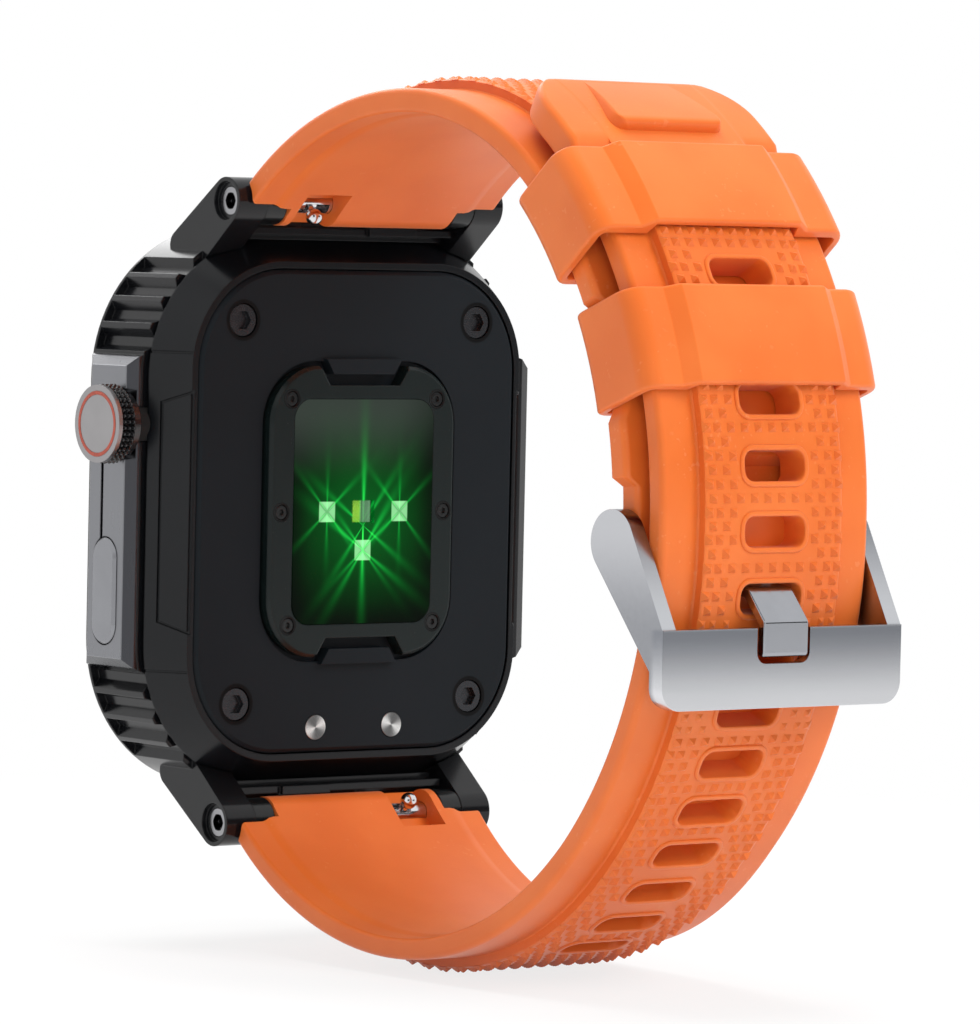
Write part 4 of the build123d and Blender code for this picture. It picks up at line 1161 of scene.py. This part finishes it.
# %% Dress the solids
bar_parts = ("bar_tube", "release_pin", "release_spring")
crown_rubber = ["crown_o_ring", "crown_stem", "crown_tube"]
dressed = {
    back_plastic: ["back_cover"],
    screw_black: ["back_screws"],
    lug_screw: ["lug_screws"],
    ring_gloss: ["sensor_ring"],
    black_gloss: ["lug_sleeves", "ring_screws"],
    glass.material: ["sensor_window"],
    board.material: ["sensor_board", "main_board"],
    lamp.material: ["sensor_leds"],
    detector.material: ["light_detector"],
    contact_steel: ["charging_pins"],
    rubber: ["back_gasket", "glass_seal", "button_seal"] + crown_rubber,
    body_black: ["body_shell"],
    case_black: ["front_frame"],
    cover_glass: ["cover_glass"],
    screen_off: ["display_panel"],
    steel: ["inner_frame", "shield_can", "vibration_motor", "crown_plunger", "buckle_bar"],
    foil: ["battery"],
    ceramic: ["gps_antenna"],
    chip_black: ["speaker", "microphone", "crown_switch", "button_switch"],
    flex: ["switch_flex"],
    crown_face: ["crown_cap"],
    red.material: ["crown_inlay"],
    button_metal: ["side_button"],
    polished: [f"{kind}_{side}" for kind in bar_parts for side in (12, 6)],
}
for material, names in dressed.items():
    for name in names:
        for place in nodes[name].material_slots:
            place.material = material
given = {name for names in dressed.values() for name in names}
bare = [name for name in sorted(set(nodes) - given) if not nodes[name].hide_render]
print("solids without a finish:", bare)

# %% [markdown]
# ## Studio
# A pale floor carries the watch and its shadow, and the world behind it is white for the
# camera, for reflections and for glass. Wide lamps give plain soft light from above and
# both sides; only the one on the far side is mirrored, along the frame's notched corners.
# Black flags, which only reflections see, give the metals and the glossy black something
# dark to mirror, as the black cards of a studio do.

# %% Floor and backdrop
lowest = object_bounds()[0][2]


def wired(tree, kind, inputs, **settings):
    """A node of the floor or the world, with its settings and its inputs."""
    made = tree.nodes.new(kind)
    for key, value in settings.items():
        setattr(made, key, value)
    for key, value in inputs.items():
        if isinstance(value, bpy.types.NodeSocket):
            tree.links.new(value, made.inputs[key])
        else:
            made.inputs[key].default_value = value
    return made


def camera_white(tree, other, share, spread=None):
    """Mixes plain white into a shader for all that looks at the backdrop. With a spread,
    the share grows to 1 between two distances from the middle."""
    path = tree.nodes.new("ShaderNodeLightPath").outputs
    sides = {0: path["Is Glossy Ray"], 1: path["Is Transmission Ray"]}
    mirrored = wired(tree, "ShaderNodeMath", sides, operation="MAXIMUM").outputs[0]
    sides = {0: path["Is Camera Ray"], 1: mirrored}
    seen = wired(tree, "ShaderNodeMath", sides, operation="MAXIMUM").outputs[0]
    if spread:
        spot = tree.nodes.new("ShaderNodeTexCoord").outputs["Object"]
        away = wired(tree, "ShaderNodeVectorMath", {0: spot}, operation="LENGTH")
        fade = {"Value": away.outputs["Value"], "To Min": share}
        fade.update({"From Min": spread[0], "From Max": spread[1]})
        share = wired(tree, "ShaderNodeMapRange", fade).outputs[0]
    share = wired(tree, "ShaderNodeMath", {0: seen, 1: share}, operation="MULTIPLY").outputs[0]
    in_world = other.node.bl_idname == "ShaderNodeBackground"
    kind = "ShaderNodeBackground" if in_world else "ShaderNodeEmission"
    white = wired(tree, kind, {"Color": (1, 1, 1, 1), "Strength": 1.0}).outputs[0]
    return wired(tree, "ShaderNodeMixShader", {0: share, 1: other, 2: white}).outputs[0]


floor_material = bpy.data.materials.new("floor_white")
floor_material.use_nodes = True
tree = floor_material.node_tree
shader = tree.nodes["Principled BSDF"]
shader.inputs["Base Color"].default_value = (0.86, 0.86, 0.86, 1)
shader.inputs["Roughness"].default_value = 0.8
pale = camera_white(tree, shader.outputs[0], 0.8, (0.05, 0.16))
tree.links.new(pale, tree.nodes["Material Output"].inputs["Surface"])
floor_shape = bmesh.new()
bmesh.ops.create_grid(floor_shape, x_segments=8, y_segments=8, size=4000)
floor = temporary("floor", floor_shape)
floor.data.transform(Matrix.Scale(MM, 4))
floor_z = lowest - 0.0002
floor.location = (0, 0, floor_z)
floor.data.materials.append(floor_material)

world = bpy.data.worlds.new("studio")
world.use_nodes = True
bpy.context.scene.world = world
sky = world.node_tree.nodes["Background"]
sky.inputs["Color"].default_value = (1, 1, 1, 1)
sky.inputs["Strength"].default_value = 0.33
tree = world.node_tree
white_sky = camera_white(tree, sky.outputs[0], 1.0)
tree.links.new(white_sky, tree.nodes["World Output"].inputs["Surface"])
bpy.context.scene.view_settings.view_transform = "Standard"
print("floor at", round(floor_z * 1000, 2), "mm")


# %% Lamps and flags
def towards_watch(place):
    """Matrix of a lamp or a card at a place, turned to the middle of the watch."""
    place = Vector(place)
    return aimed(place, (Vector((0, 0.02, 0)) - place).normalized())


def soft_lamp(name, place, width, height, watts, mirrored=False):
    light = bpy.data.lights.new(name, "AREA")
    light.shape = "RECTANGLE"
    light.size, light.size_y = width, height
    light.energy = watts
    made = bpy.data.objects.new(name, light)
    bpy.context.scene.collection.objects.link(made)
    made.matrix_world = towards_watch(place)
    made.visible_glossy = mirrored


def flag(name, place, width, height):
    """A black card that only reflections see."""
    shape = bmesh.new()
    bmesh.ops.create_grid(shape, x_segments=2, y_segments=2, size=500)
    card = temporary(name, shape)
    card.data.transform(Matrix.Diagonal((width * MM, height * MM, MM, 1)))
    card.matrix_world = towards_watch(place)
    black = bpy.data.materials.new(name)
    black.use_nodes = True
    inputs = black.node_tree.nodes["Principled BSDF"].inputs
    inputs["Base Color"].default_value = (0.01, 0.01, 0.01, 1)
    inputs["Roughness"].default_value = 1.0
    card.data.materials.append(black)
    for rays in ("camera", "diffuse", "shadow", "transmission"):
        setattr(card, "visible_" + rays, False)


soft_lamp("key", (-0.45, 0.75, 0.7), 0.5, 0.5, 6.9)
soft_lamp("front", (0.55, 0.8, 0.25), 0.5, 0.5, 2.0)
soft_lamp("top", (0.0, -0.15, 0.9), 0.6, 0.6, 8.0)
soft_lamp("far_side", (-0.27, -0.79, 0.56), 0.42, 0.42, 1.8, mirrored=True)
flag("flag_behind_camera", (0.66, 0.78, 0.05), 0.5, 0.9)
flag("flag_right", (-0.75, 0.95, -0.05), 0.7, 0.8)
flag("flag_above", (0.25, 0.3, 1.0), 0.7, 0.5)
print("four lamps and three flags")
